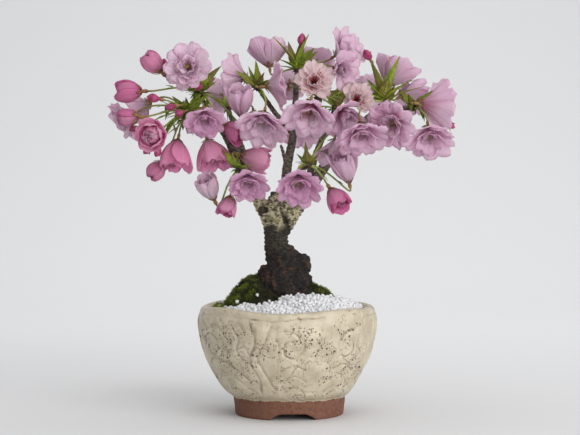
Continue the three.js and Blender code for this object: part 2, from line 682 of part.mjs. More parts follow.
/** The inner wall's radius at a height. */
function wallRadius(z) {
  for (let i = 0; i < INNER_WALL.length - 1; i++) {
    const [[r1, z1], [r0, z0]] = [INNER_WALL[i], INNER_WALL[i + 1]];
    if (z <= z1 && z >= z0) return THREE.MathUtils.mapLinear(z, z0, z1, r0, r1);
  }
  return INNER_WALL[0][0];
}

/** The moss's edge in a direction from its centre. */
function mossRadius(angle) {
  const step = ((angle / (2 * Math.PI)) * 12 + 12) % 12;
  const low = Math.floor(step);
  return THREE.MathUtils.lerp(MOSS_EDGE[low], MOSS_EDGE[(low + 1) % 12], step - low);
}

/** How far the inner wall is from the moss centre in a direction, less a seat gap. */
function reachToWall(angle, z) {
  const wall = wallRadius(z) - 2 * SEAT_GAP;
  const [dx, dy] = [MOSS_CENTRE[0] - POT_X, MOSS_CENTRE[1]];
  const b = dx * Math.cos(angle) + dy * Math.sin(angle);
  return -b + Math.sqrt(b * b - (dx * dx + dy * dy - wall * wall));
}

/**
 * A flat-bottomed layer round the moss centre. `inner` and `outer` give its edges' radii in a
 * direction, and `top` its height at a share of the way out, a direction, a ring and a step.
 */
function layer(sides, inner, outer, rings, bottom, top) {
  const points = [];
  for (const upper of [true, false]) {
    for (let k = 0; k <= rings; k++) {
      for (let s = 0; s < sides; s++) {
        const a = (s / sides) * 2 * Math.PI;
        const r = THREE.MathUtils.lerp(inner(a), outer(a), k / rings);
        const z = upper ? top(k / rings, a, k, s) : bottom;
        points.push(vec(MOSS_CENTRE[0] + r * Math.cos(a), MOSS_CENTRE[1] + r * Math.sin(a), z));
      }
    }
  }
  const skin = (rings + 1) * sides;
  const edge = rings * sides;
  const triangles = [];
  for (let s = 0; s < sides; s++) {
    const next = (s + 1) % sides;
    for (let k = 0; k < rings; k++) {
      const [a, b] = [k * sides + s, k * sides + next];
      const [c, d] = [a + sides, b + sides];
      triangles.push([a, c, d], [a, d, b]);
      triangles.push([skin + a, skin + d, skin + c], [skin + a, skin + b, skin + d]);
    }
    const under = skin + edge;
    triangles.push([edge + s, under + s, under + next], [edge + s, under + next, edge + next]);
    triangles.push([s, next, skin + next], [s, skin + next, skin + s]);
  }
  return solidFrom(points, triangles);
}

const CORE_RADIUS = 2; // inside the trunk, where every layer round it has been cut away

/** The moss's height at the trunk in a direction, highest at the left and lowest at the front. */
const mossTop = (angle) => 91.5 - 3 * Math.cos(angle) - 7 * Math.max(0, -Math.sin(angle));

/** The soil heaped under the moss. */
function mound(raise) {
  const reach = (a) => mossRadius(a) - 2;
  const height = (a) => mossTop(a) - MOSS_DEPTH - GROUND_Z;
  const top = (share, a) => GROUND_Z + raise + height(a) * (1 - share ** 1.8);
  return layer(FILL_SIDES, () => CORE_RADIUS, reach, MOUND_RINGS, GROUND_Z - 4, top);
}

/** The soil, from the net up to the ground, and the heap under the moss. */
function soil() {
  const z0 = FLOOR_Z + NET_THICKNESS + 2 * SEAT_GAP;
  const wall = [z0, 30, 47, GROUND_Z].map((z) => [wallRadius(z) - 4 * SEAT_GAP, z]);
  const outline = [[0, z0], ...wall, [0, GROUND_Z]].map(([r, z]) => new THREE.Vector2(r, z));
  const geometry = new THREE.LatheGeometry(outline, FILL_SIDES);
  geometry.rotateX(Math.PI / 2);
  return facingOut(geometry).translate(POT_X, 0, 0).add(mound(0));
}

/** The moss over the heap, domed and thin at its edge. Grown by `swell`, it cuts its own seat. */
function mossHeap(swell) {
  const foot = GROUND_Z + MOSS_DEPTH + swell;
  const top = (share, a, k, s) =>
    foot + (mossTop(a) - foot) * (1 - share ** 3) + MOSS_RELIEF * (draw(k + 50, s) - 0.5);
  const reach = (a) => mossRadius(a) + 2 * swell;
  return layer(FILL_SIDES, () => CORE_RADIUS, reach, MOSS_RINGS, GROUND_Z + SEAT_GAP - 2 * swell, top);
}

const moss = () => mossHeap(0).subtract(mound(SEAT_GAP));

/** White gravel beside the moss, banked up over its edge at the front right. */
function gravel() {
  const bank = (a) => Math.max(0, Math.cos(a + radians(50)));
  const height = (a) => 3.5 + 8 * bank(a) ** 1.5;
  const top = (share, a, k, s) =>
    GRAVEL_Z + height(a) * (1 - share ** 2) + GRAVEL_RELIEF * (draw(k + 90, s) - 0.5);
  const inner = (a) => mossRadius(a) + 2 * SEAT_GAP - GRAVEL_LAP * bank(a);
  const outer = (a) => reachToWall(a, GRAVEL_Z - 4);
  const bed = layer(GRAVEL_SIDES, inner, outer, GRAVEL_RINGS, GROUND_Z + SEAT_GAP, top);
  return bed.subtract(mossHeap(SEAT_GAP));
}

// ---- The whole tree -----------------------------------------------------------------------------

/** A spray's hubs, leaves, flower stalks with their cups, and small buds, as one solid. */
function spray(name) {
  const places = SPRAYS[name].hubs.map((at) => vec(...at));
  const parts = hubs(name, 0);
  SPRAYS[name].leaves.forEach((row, i) => parts.push(leaf(places[i % places.length], row)));
  for (const { hub, base, axis, sway } of blooms.filter((bloom) => bloom.spray === name)) {
    parts.push(stalk(places[hub], base, axis, sway));
  }
  for (const [, hub, base, turn, lift, length] of SMALL_BUDS.filter(([of]) => of === name)) {
    const axis = heading(turn, lift);
    parts.push(stalk(places[hub], vec(...base), axis, vec(0, 0, 0)), smallBud(vec(...base), axis, length));
  }
  return joined(parts);
}

const COLOURS = {
  pot: [0xd9cfb4, 0.45],
  net: [0x2b2b2b, 0.6],
  soil: [0x4a3728, 0.95],
  moss: [0x4f6a1c, 0.95],
  gravel: [0xe4e6ea, 0.8],
  wood: [0x4a4038, 0.9],
  green: [0x6f8a33, 0.6],
  petal: [0xdcaed0, 0.55],
};

const group = new THREE.Group();

function add(name, solid, colour) {
  const [color, roughness] = COLOURS[colour];
  const material = new THREE.MeshStandardMaterial({ color, roughness, metalness: 0 });
  const mesh = new THREE.Mesh(geometryOf(solid), material);
  mesh.name = name;
  group.add(mesh);
}

const tree = mainBody(wood());
const seat = trunk(ROOT_GAP);
add("pot", pot(), "pot");
add("drain_net", drainNet(), "net");
add("soil", mainBody(soil().subtract(seat)), "soil");
add("moss", mainBody(moss().subtract(seat)), "moss");
add("gravel", mainBody(gravel().subtract(seat)), "gravel");
add("wood", tree, "wood");

const placed = [boxed(tree, "wood")];
for (const name of Object.keys(SPRAYS)) {
  const solid = mainBody(spray(name));
  add("spray_" + name, solid, "green");
  placed.push(boxed(solid, "spray_" + name));
}
const cores = blooms.map((bloom) => boxed(core(bloom), bloom.node));
blooms.forEach((bloom, n) => {
  const others = [...placed, ...cores].filter(({ owner }) => owner !== bloom.node);
  const solid = bloomSolid(bloom, n, others);
  add(bloom.node, mainBody(solid), "petal");
  placed.push(boxed(solid, bloom.node));
});

export default group;
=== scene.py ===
import math
import random

import bpy
import numpy as np
from mathutils import Euler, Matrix, Vector, kdtree, noise
from mathutils.bvhtree import BVHTree


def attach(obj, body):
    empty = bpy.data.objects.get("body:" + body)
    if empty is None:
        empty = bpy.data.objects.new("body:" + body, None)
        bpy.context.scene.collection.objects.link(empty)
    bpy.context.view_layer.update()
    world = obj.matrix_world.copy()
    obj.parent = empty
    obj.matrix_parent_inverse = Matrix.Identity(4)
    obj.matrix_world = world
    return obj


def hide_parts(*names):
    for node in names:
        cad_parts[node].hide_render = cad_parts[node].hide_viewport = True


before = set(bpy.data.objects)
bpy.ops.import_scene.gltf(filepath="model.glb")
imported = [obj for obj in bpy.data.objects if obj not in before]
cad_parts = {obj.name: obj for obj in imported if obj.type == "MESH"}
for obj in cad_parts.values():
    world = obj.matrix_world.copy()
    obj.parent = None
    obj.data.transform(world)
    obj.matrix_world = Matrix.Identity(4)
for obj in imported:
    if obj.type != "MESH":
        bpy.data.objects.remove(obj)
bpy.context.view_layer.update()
MM = 0.001


# ---- Studio --------------------------------------------------------------------------------------
# A sheet of white paper runs from under the bowl and bends up behind it. A large soft lamp stands at
# the front right, and the rest of the light comes evenly from the room.
CAMERA_PLACE = (0.0046, -1.3, 0.193)
CAMERA_TILT = 87.2493  # degrees up from straight down
CAMERA_LENS, CAMERA_SENSOR = 121.7, 36
PAPER_FRONT, PAPER_BACK = -3.0, 2.4
PAPER_SIDE, PAPER_TOP = 4.0, 4.0
PAPER_BEND, BEND_STEPS = 1.7, 24
PAPER_GREY = (0.76, 0.76, 0.765, 1)
ROOM_GREY = (0.86, 0.87, 0.88, 1)
ROOM_LIGHT = 0.51
LAMPS = [  # name, place, what it is aimed at, width in metres, watts
    ("key_lamp", (1.2, -1.55, 0.55), (0, 0, 0.16), 1.7, 33),
    ("wall_lamp", (0, 0.8, 1.1), (0, 2.0, 0.0), 1.5, 5.5),
    ("top_lamp", (0.1, -0.2, 1.6), (0, 0, 0.1), 1.6, 9),
]

bpy.ops.object.camera_add(location=CAMERA_PLACE, rotation=(math.radians(CAMERA_TILT), 0, 0))
camera = bpy.context.object
camera.data.lens = CAMERA_LENS
camera.data.sensor_width = CAMERA_SENSOR
bpy.context.scene.camera = camera
bpy.context.scene.view_settings.view_transform = "Standard"


def applied(piece, kind, **settings):
    """Works a modifier into the mesh of the active piece."""
    modifier = piece.modifiers.new(kind.lower(), kind)
    for key, value in settings.items():
        setattr(modifier, key, value)
    bpy.ops.object.modifier_apply(modifier=modifier.name)


bpy.ops.object.select_all(action="DESELECT")
bpy.ops.mesh.primitive_plane_add(size=2)
paper = bpy.context.object
paper.name = "paper_sweep"
for vertex in paper.data.vertices:
    vertex.co.x *= PAPER_SIDE
    vertex.select = vertex.co.y > 0
    vertex.co.y = PAPER_BACK if vertex.select else PAPER_FRONT
for edge in paper.data.edges:
    edge.select = all(paper.data.vertices[v].select for v in edge.vertices)
paper.data.polygons[0].select = False
bpy.ops.object.mode_set(mode="EDIT")
bpy.ops.mesh.extrude_region_move(TRANSFORM_OT_translate={"value": (0, 0, PAPER_TOP)})
bpy.ops.object.mode_set(mode="OBJECT")
applied(paper, "BEVEL", width=PAPER_BEND, segments=BEND_STEPS)
bpy.ops.object.shade_smooth()
paper_white = bpy.data.materials.new("paper_white")
paper_white.use_nodes = True
surface = paper_white.node_tree.nodes["Principled BSDF"].inputs
surface["Base Color"].default_value = PAPER_GREY
surface["Roughness"].default_value = 0.9
paper.data.materials.append(paper_white)

room = bpy.data.worlds.new("room")
bpy.context.scene.world = room
room.use_nodes = True
light = room.node_tree.nodes["Background"].inputs
light["Color"].default_value = ROOM_GREY
light["Strength"].default_value = ROOM_LIGHT
for name, place, target, width, watts in LAMPS:
    aim = (Vector(target) - Vector(place)).to_track_quat("-Z", "Y")
    bpy.ops.object.light_add(type="AREA", location=place, rotation=aim.to_euler())
    lamp = bpy.context.object
    lamp.name = name
    lamp.data.size = width
    lamp.data.energy = watts


# ---- Bowl ----------------------------------------------------------------------------------------
# One piece of thrown stoneware: a bare red-brown foot ring with three arches, a wall carved with
# flowing grooves and dotted with pits, and a lip rolled inwards. The glaze is cream, and its brown
# shows in the pits and in some grooves; the brown in the folds under the lip is partly painted shade.
# It is spun from its outline, and carved by formula.
POT_X = 3.0
POT_STEPS = 448
GLAZE_END_Z = 12.5
# The outline as (radius, height), from the foot up, over the lip, and down to the hollow under the floor.
OUTER_WALL = [(37.6, 13.4), (43.5, 17.5), (50, 28), (55.4, 39.5), (58.7, 51), (59.9, 62), (58.5, 69.6)]
LIP = [(58.5, 69.6), (57.2, 71.4), (55, 72), (52.9, 71.2), (51.8, 69.2), (51.2, 65)]
INNER_WALL = [(51.2, 65), (51, 60), (47.6, 40), (34.6, 15.6), (29, 10)]
FLOOR = [(29, 10), (6.5, 10), (6.5, 4.6), (28.5, 4.6), (29.3, 0.6), (29.9, 0)]
FOOT = [(35.3, 0), (35.9, 0.5), (36.2, 2), (36.3, 4), (36.5, 6), (36.8, 8), (37, 10), (37, 12.3)]
ARCH_TURNS = (-86, 34, 154)
ARCH_HALF_WIDTH, ARCH_HEIGHT = 14.5, 4.2
ARCH_SLOPE = 6.5  # how far in from its side an arch reaches its full height
FOOT_SHIFT = 1.2
CARVED_ARC = 54.0  # radius at which widths of carving are reckoned
CARVING_SHARE = 0.95  # of the depths listed below
STROKE_REACH = 8  # further off, a stroke leaves the wall as it is
CREASE_Z = 67.7  # height of the folds under the lip

# Carving of a third of the wall: (width, depth, brown, points as (degrees round, height)). A depth
# below nought is a raised rib.
CARVING = [
    (0.9, 0.9, 0.9, [(-51, 64), (-46, 54), (-49, 42), (-43, 29), (-41, 18)]),
    (0.8, 0.8, 0.6, [(-45, 64), (-41, 54), (-43, 42), (-37, 30), (-33, 20)]),
    (1.9, -0.8, 0.0, [(-48, 66), (-44, 54), (-46, 42), (-40, 29), (-37, 19)]),
    (0.7, 0.6, 0.6, [(-55, 60), (-52, 50), (-55, 41)]),
    (1.2, 0.7, 0.4, [(-32, 64), (-24, 60), (-15, 63), (-7, 58)]),
    (0.8, 0.8, 0.8, [(-30, 49), (-27, 55), (-20, 57), (-14, 53), (-15, 46), (-21, 43), (-25, 47),
                     (-22, 51)]),
    (0.6, 0.6, 0.6, [(-34, 55), (-31, 47), (-34, 39)]),
    (1.1, 0.9, 0.5, [(-33, 34), (-22, 41), (-10, 39), (0, 33), (8, 27)]),
    (2.2, -0.8, 0.0, [(-31, 38), (-21, 45), (-9, 43), (2, 37), (10, 31)]),
    (0.9, 0.7, 0.5, [(-29, 25), (-18, 31), (-6, 29), (4, 22), (12, 18)]),
    (0.7, 0.6, 0.6, [(-26, 18), (-20, 22), (-13, 18)]),
    (0.7, 0.6, 0.5, [(-8, 19), (-2, 16), (4, 17)]),
    (0.8, 0.8, 0.8, [(-6, 56), (-1, 50), (-4, 45)]),
    (0.8, 0.8, 0.6, [(1, 62), (5, 55), (3, 47), (7, 41)]),
    (0.7, 0.7, 0.8, [(9, 50), (12, 45), (10, 39)]),
    (0.9, 0.9, 0.9, [(14, 65), (17, 53), (12, 40), (17, 28), (15, 18)]),
    (0.8, 0.9, 0.6, [(28, 65), (24, 54), (18, 43), (22, 32), (28, 21)]),
    (2.3, -0.8, 0.0, [(21, 66), (20, 54), (15, 42), (19, 30), (21, 20)]),
    (0.9, 0.8, 0.8, [(36, 61), (45, 58), (49, 50), (43, 43), (36, 46), (37, 53), (42, 54)]),
    (0.7, 0.6, 0.6, [(31, 56), (33, 48), (31, 41)]),
    (0.7, 0.7, 0.7, [(33, 34), (42, 38), (51, 35)]),
    (0.7, 0.7, 0.5, [(34, 27), (43, 31), (52, 27)]),
    (0.7, 0.6, 0.5, [(36, 20), (44, 23), (52, 19)]),
    (1.0, 0.6, 0.3, [(-10, 66), (-2, 61), (5, 65), (10, 60)]),
]
CARVING_SHIFTS = ((-38, 1), (84, -1), (203, 1))  # degrees from the front, and which way round
# The brown in these folds is partly the glaze's own and partly painted shade under the lip, strongest at
# the front.
LIP_CREASES = [  # (width, depth, brown, first and last degrees round) of where the lip folds over
    (0.55, 0.75, 1.0, -24, 27),
    (0.9, 0.5, 0.2, -70, -20),
    (0.8, 0.55, 0.5, 62, 118),
    (0.7, 0.6, 0.8, 150, 200),
    (0.9, 0.5, 0.3, 215, 262),
]


def smooth_run(points, spacing):
    """Points about `spacing` apart on a smooth line through the given ones."""
    run = []
    padded = [points[0], *points, points[-1]]
    for a, b, c, d in zip(padded, padded[1:], padded[2:], padded[3:]):
        a, b, c, d = (np.array(p, float) for p in (a, b, c, d))
        second, third = 2 * a - 5 * b + 4 * c - d, 3 * b - a - 3 * c + d
        steps = max(1, round(float(np.linalg.norm(c - b)) / spacing))
        for t in (k / steps for k in range(steps)):
            run.append(0.5 * (2 * b + (c - a) * t + second * t**2 + third * t**3))
    run.append(np.array(points[-1], float))
    return run


outline = [
    *smooth_run(FOOT, 1.3),
    *smooth_run(OUTER_WALL, 0.68),
    *smooth_run(LIP, 0.9)[1:],
    *smooth_run(INNER_WALL, 5)[1:],
    *[np.array(p, float) for p in FLOOR[1:]],
]
bpy.ops.object.select_all(action="DESELECT")
bpy.ops.mesh.primitive_plane_add(size=MM)
pot = bpy.context.object
pot.name = "stoneware_bowl"
bpy.ops.object.mode_set(mode="EDIT")
bpy.ops.mesh.select_all(action="SELECT")
bpy.ops.mesh.merge(type="CENTER")
start = ((POT_X + outline[0][0]) * MM, 0, outline[0][1] * MM)
bpy.ops.transform.translate(value=start)
for before, after in zip(outline, outline[1:]):
    step = ((after[0] - before[0]) * MM, 0, (after[1] - before[1]) * MM)
    bpy.ops.mesh.extrude_vertices_move(TRANSFORM_OT_translate={"value": step})
bpy.ops.mesh.select_all(action="SELECT")
bpy.ops.mesh.edge_face_add()
bpy.ops.mesh.delete(type="ONLY_FACE")
bpy.ops.mesh.select_all(action="SELECT")
bpy.ops.mesh.spin(steps=POT_STEPS, angle=2 * math.pi, center=(POT_X * MM, 0, 0), axis=(0, 0, 1))
bpy.ops.mesh.remove_doubles(threshold=2e-6)
bpy.ops.mesh.normals_make_consistent(inside=False)
bpy.ops.object.mode_set(mode="OBJECT")

points = np.empty(3 * len(pot.data.vertices))
pot.data.vertices.foreach_get("co", points)
points = points.reshape(-1, 3) / MM - (POT_X, 0, 0)
radius = np.hypot(points[:, 0], points[:, 1])
turn = np.degrees(np.arctan2(points[:, 0], -points[:, 1]))  # from the front, to the right
height = points[:, 2].copy()
carved = np.zeros(len(points))
brown = np.zeros(len(points))
rising = INNER_WALL[:0:-1]
inner_wall = np.interp(height, [z for _, z in rising], [r for r, _ in rising])
outside = (height > 12.8) & (radius > np.maximum(37.2, inner_wall + 2))
strokes = [
    (width, depth, tint, [(shift + way * a, z) for a, z in line])
    for shift, way in CARVING_SHIFTS
    for width, depth, tint, line in CARVING
]
for width, depth, tint, first, last in LIP_CREASES:
    line = [(a, CREASE_Z + 0.5 * math.sin(math.radians(5 * a))) for a in range(first, last, 3)]
    line = [(a, z + 0.3 * math.sin(math.radians(13 * a))) for a, z in line]
    strokes.append((width, depth, tint, line))
wall = np.nonzero(outside)[0]
around = 2 * math.pi * CARVED_ARC
for width, depth, tint, line in strokes:
    dots = np.array(smooth_run([(math.radians(a) * CARVED_ARC, z) for a, z in line], 0.5))
    for lap in (-around, 0, around):
        across = np.radians(turn[wall]) * CARVED_ARC + lap
        near = (across > dots[:, 0].min() - STROKE_REACH) & (across < dots[:, 0].max() + STROKE_REACH)
        some, across = wall[near], across[near]
        if not len(some):
            continue
        gap = np.full(len(some), 99.0)
        for u, z in dots:
            gap = np.minimum(gap, np.hypot(across - u, height[some] - z))
        carved[some] += CARVING_SHARE * depth * np.exp(-((gap / width) ** 2))
        brown[some] = np.maximum(brown[some], tint * np.exp(-((gap / (0.5 * width)) ** 2)))
for v in wall:
    place = Vector(points[v])
    fade = min(1, max(0, (height[v] - 14) / 5)) * min(1, max(0, (71 - height[v]) / 2.5))
    folds = 0.4 - abs(noise.noise(Vector((place.x, place.y, 0.7 * place.z)) / 7))
    uneven = 0.35 * noise.noise(place / 16) + 0.5 * folds
    uneven += 0.25 * noise.noise(place / 5)
    uneven += 0.12 * noise.noise(place / 2)
    carved[v] = fade * (max(-0.4, carved[v]) + 0.4) + 0.05 + 0.9 * uneven * fade
shrink = np.where(outside, np.maximum(carved, 0.02), 0) / np.maximum(radius, 1)
points[:, :2] *= (1 - shrink)[:, None]

lip = np.clip((height - 62) / 8, 0, 1)
waves = np.where(np.abs(turn) < 90, 2.1, 0.8) * np.sin(np.radians(2 * turn)) ** 2 - 0.4
points[:, 2] += lip * (waves + 0.25 * np.sin(np.radians(5 * turn)))
for arch in ARCH_TURNS:
    out = np.array((math.cos(math.radians(arch)), math.sin(math.radians(arch))))
    sideways = np.abs(points[:, 0] * -out[1] + points[:, 1] * out[0])
    ahead = points[:, :2] @ out > 15
    rise = ARCH_HEIGHT * np.clip((ARCH_HALF_WIDTH - sideways) / ARCH_SLOPE, 0, 1) ** 0.55
    under = ahead & (radius > 28) & (height < 11) & (sideways < ARCH_HALF_WIDTH)
    points[:, 2] = np.where(under, rise + height * (1 - rise / 11), points[:, 2])
drips = [noise.noise(Vector((a / 9, 0.3, 0))) + 0.5 * noise.noise(Vector((a / 3, 2, 0))) for a in turn]
drips = 0.9 * np.array(drips) - 1.1 * np.sin(np.radians(turn)) ** 2
glaze_end = (height > 9) & (height < 16.5) & (radius > 36)
points[:, 2] += np.where(glaze_end, drips * (1 - np.abs(height - 12.6) / 4), 0)
points += (POT_X, 0, 0)
points[:, 0] += FOOT_SHIFT * np.clip((22 - height) / 12, 0, 1)  # thrown a little off its middle
pot.data.vertices.foreach_set("co", (points * MM).ravel())


def keep_on_points(mesh, name, values):
    """A number at each point of a mesh, for its material to read."""
    mesh.attributes.new(name, "FLOAT", "POINT").data.foreach_set("value", values)


keep_on_points(pot.data, "stain_and_lip_shade", brown)
keep_on_points(pot.data, "glazed", (height > GLAZE_END_Z).astype(float))
pot.data.update()
bpy.ops.object.shade_smooth()


class Shade:
    """An output of a material's nodes. A sum on it puts in a Math node."""

    def __init__(self, tree, socket):
        self.tree = tree
        self.socket = socket

    def worked(self, operation, first, second=None):
        node = self.tree.nodes.new("ShaderNodeMath")
        node.operation = operation
        for socket, value in zip(node.inputs, (first, second)):
            if isinstance(value, Shade):
                self.tree.links.new(value.socket, socket)
            elif value is not None:
                socket.default_value = value
        return Shade(self.tree, node.outputs[0])

    def __add__(self, other):
        return self.worked("ADD", self, other)

    def __radd__(self, other):
        return self.worked("ADD", other, self)

    def __sub__(self, other):
        return self.worked("SUBTRACT", self, other)

    def __rsub__(self, other):
        return self.worked("SUBTRACT", other, self)

    def __mul__(self, other):
        return self.worked("MULTIPLY", self, other)

    def __rmul__(self, other):
        return self.worked("MULTIPLY", other, self)

    def __pow__(self, other):
        return self.worked("POWER", self, other)

    def __abs__(self):
        return self.worked("ABSOLUTE", self)

    def sine(self):
        return self.worked("SINE", self)

    def clamped(self):
        return self.worked("MINIMUM", self.worked("MAXIMUM", self, 0.0), 1.0)

    def stepped(self, low, high):
        """0 below `low`, 1 above `high`, and a straight rise between."""
        return ((self - low) * (1 / (high - low))).clamped()


def paint(red, green, blue):
    """A colour from its 0 to 255 screen values."""
    parts = (c / 255 for c in (red, green, blue))
    return (*(c / 12.92 if c < 0.04045 else ((c + 0.055) / 1.055) ** 2.4 for c in parts), 1)


class Finish:
    """A material in the making, with its shader's steady values set on the shader itself."""

    def __init__(self, name, **steady):
        self.material = bpy.data.materials.new(name)
        self.material.use_nodes = True
        self.tree = self.material.node_tree
        self.shader = self.tree.nodes["Principled BSDF"]
        for socket, value in steady.items():
            self.shader.inputs[socket.replace("_", " ")].default_value = value

    def node(self, kind, settings=None, sockets=None, out=0):
        """One output of a new node. Settings come first, then its sockets by name or number."""
        node = self.tree.nodes.new("ShaderNode" + kind)
        for key, value in (settings or {}).items():
            setattr(node, key, value)
        for key, value in (sockets or {}).items():
            if isinstance(value, Shade):
                self.tree.links.new(value.socket, node.inputs[key])
            else:
                node.inputs[key].default_value = value
        return Shade(self.tree, node.outputs[out])

    def place(self):
        return self.node("TexCoord", out="Object")

    def parts(self, vector):
        """Its x, y and z."""
        split = self.node("SeparateXYZ", sockets={"Vector": vector})
        return [Shade(self.tree, socket) for socket in split.socket.node.outputs]

    def number(self, name):
        return self.node("Attribute", {"attribute_name": name}, out="Fac")

    def marks(self):
        """The three numbers that a heap of shapes holds at each point."""
        return self.parts(self.node("Attribute", {"attribute_name": "marks"}, out="Vector"))

    def mixed(self, share, first, second):
        """From the first colour to the second: each is an output or 0 to 255 screen values."""
        first, second = (c if isinstance(c, Shade) else paint(*c) for c in (first, second))
        return self.node("Mix", {"data_type": "RGBA"}, {0: share, 6: first, 7: second}, out=2)

    def cloudy(self, scale, detail=2.0, stretch=None):
        """A soft noise about 0.5, `scale` to the metre."""
        where = self.place()
        if stretch:
            where = self.node("Mapping", sockets={"Vector": where, "Scale": stretch})
        return self.node("TexNoise", sockets={"Vector": where, "Scale": scale, "Detail": detail})

    def show(self, socket, value):
        self.tree.links.new(value.socket, self.shader.inputs[socket])

    def raise_by(self, height, distance):
        """Bumps from a height of 0 to 1, `distance` metres deep."""
        self.show("Normal", self.node("Bump", sockets={"Height": height, "Distance": distance}))


glaze = Finish("stoneware_glaze")
grain = glaze.cloudy(90, 4)
patch = glaze.cloudy(75, 2).stepped(0.4, 0.56)
height = glaze.parts(glaze.place())[2]
pitting = (0.35 + patch) * (1 - 0.7 * height.stepped(0.062, 0.067))
specks = []
for scale, size, share in ((420.0, 0.33, 0.6), (760.0, 0.4, 0.9)):
    cell = {"Vector": glaze.place(), "Scale": scale, "Randomness": 1.0}
    gap = glaze.node("TexVoronoi", sockets=cell)
    lot = glaze.node("TexVoronoi", sockets=cell, out="Color")
    lot = glaze.node("SeparateColor", sockets={"Color": lot})
    specks.append((size * pitting * lot.stepped(1 - share, 1.0) - gap).stepped(0.0, 0.06))
pits, dots = specks
curl = glaze.cloudy(150, 1)
scribble = 1 - abs(curl - 0.5).stepped(0.003, 0.012)
scribble = scribble * glaze.cloudy(45, 1).stepped(0.46, 0.54) * glaze.cloudy(400, 2).stepped(0.4, 0.6)
# The stain is the glaze's brown in the carving; in the folds under the lip it is partly painted shade.
stain_and_shade = (glaze.number("stain_and_lip_shade") * (0.3 + 1.3 * glaze.cloudy(160, 3).stepped(0.42, 0.6))).clamped()
is_glazed = glaze.number("glazed").stepped(0.35, 0.65)
cream = glaze.mixed(grain.stepped(0.3, 0.7), (185, 173, 147), (217, 205, 181))
cream = glaze.mixed(0.8 * stain_and_shade, cream, (112, 78, 66))
cream = glaze.mixed(0.75 * scribble, cream, (138, 116, 98))
cream = glaze.mixed(0.85 * pits, cream, (92, 68, 56))
cream = glaze.mixed(0.7 * dots, cream, (104, 80, 66))
clay = glaze.mixed(glaze.cloudy(400, 3), (104, 66, 50), (140, 96, 76))
glaze.show("Base Color", glaze.mixed(is_glazed, clay, cream))
glaze.show("Roughness", 0.82 - 0.46 * is_glazed + 0.2 * pits)
rough = 0.6 * grain + 0.35 * glaze.cloudy(900, 2)
glaze.raise_by(rough - 0.8 * pits - 0.4 * dots - 0.6 * scribble, 0.0009)
pot.data.materials.append(glaze.material)
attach(pot, "root")
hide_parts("pot")


# ---- Drain net and soil --------------------------------------------------------------------------
# A square of black plastic mesh covers the drain hole and keeps the soil in. The soil is baked clay
# granules packed round the root plug. Both are as packed, under the moss and gravel.
def two_toned(name, roughness, scale, first, second):
    """A material that goes from one colour to the other and back in soft clouds, `scale` to the metre."""
    finish = Finish(name, Roughness=roughness)
    finish.show("Base Color", finish.mixed(finish.cloudy(scale), first, second))
    return finish.material


net_black = two_toned("net_black", 0.55, 300, (24, 24, 24), (44, 44, 42))
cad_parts["drain_net"].material_slots[0].material = net_black

granules = Finish("soil_granules", Roughness=0.95)
crumb = granules.node("TexVoronoi", sockets={"Vector": granules.place(), "Scale": 420.0})
# Each granule is darker towards its edge: painted shade in the gaps between granules.
granules.show("Base Color", granules.mixed(crumb.stepped(0.0, 0.7), (96, 72, 50), (44, 30, 20)))
granules.raise_by(1 - crumb, 0.0015)
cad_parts["soil"].material_slots[0].material = granules.material


# ---- Gravel --------------------------------------------------------------------------------------
# Loose grains of crushed white marble, about 2 to 3 mm, raked round the moss and heaped a little
# against the trunk. Six chips are knocked out of rough balls, and copies of them are strewn on a bed.
CHIP_KINDS = 6
CHIP_RADIUS = 1.5
CHIP_SPACING = (2.0, 2.3)  # in the lower and in the upper layer
CHIP_DEPTH = (-0.9, 0.35)
CHIP_TRIES = 15000  # places drawn for each layer; a chip stays where none is near
STRAYS = [  # single chips that lie on the moss
    (-23, -25), (-16, -26), (-17, -20), (-9, -23), (-25, -21), (-12, -24), (-30, -17), (10, -18),
    (-19, -27),
]
WALL_RADIUS = 50.6  # inside the bowl, at the height of its fill
GRAVEL_LEFT, GRAVEL_BACK = -38, 12  # left of the one and before the other, moss reaches the wall


class Heap:
    """What many small closed shapes make together: points, faces, each face's finish and marks."""

    def __init__(self):
        self.points = []
        self.faces = []
        self.finishes = []
        self.marks = []
        self.count = 0

    def add(self, points, faces, finish=0, marks=0.0):
        """Points in millimetres. `marks` has three numbers, or three for each point, for the material."""
        points = np.asarray(points, float)
        self.points.append(points)
        self.faces.extend([tuple(v + self.count for v in face) for face in faces])
        self.finishes.extend([finish] * len(faces))
        self.marks.append(np.zeros((len(points), 3)) + marks)
        self.count += len(points)

    def piece(self, name, *materials):
        """The object that the shapes make, with its place in its mesh."""
        mesh = bpy.data.meshes.new(name)
        mesh.from_pydata(np.vstack(self.points) * MM, [], self.faces)
        for material in materials:
            mesh.materials.append(material)
        mesh.polygons.foreach_set("material_index", self.finishes)
        mesh.polygons.foreach_set("use_smooth", [True] * len(self.faces))
        marks = mesh.attributes.new("marks", "FLOAT_VECTOR", "POINT")
        marks.data.foreach_set("vector", np.vstack(self.marks).ravel())
        mesh.update()
        made = bpy.data.objects.new(name, mesh)
        bpy.context.scene.collection.objects.link(made)
        return made


def surface_under(node):
    """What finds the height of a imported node's top over a place in millimetres, or None beside it."""
    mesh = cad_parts[node].data
    faces = [tuple(p.vertices) for p in mesh.polygons]
    tree = BVHTree.FromPolygons([v.co / MM for v in mesh.vertices], faces)

    def top(x, y):
        spot = tree.ray_cast(Vector((x, y, 200)), Vector((0, 0, -1)))[0]
        return spot.z if spot else None

    return top


def turned_any_way(rng):
    """A random rotation."""
    a, b, c = (rng.uniform(0, 2 * math.pi) for _ in range(3))
    return np.array(Euler((a, b, c)).to_matrix())


def shape_of(mesh, scale=1.0):
    """A mesh's points and faces. A scale of MM gives millimetres."""
    return np.array([v.co for v in mesh.vertices]) / scale, [tuple(p.vertices) for p in mesh.polygons]


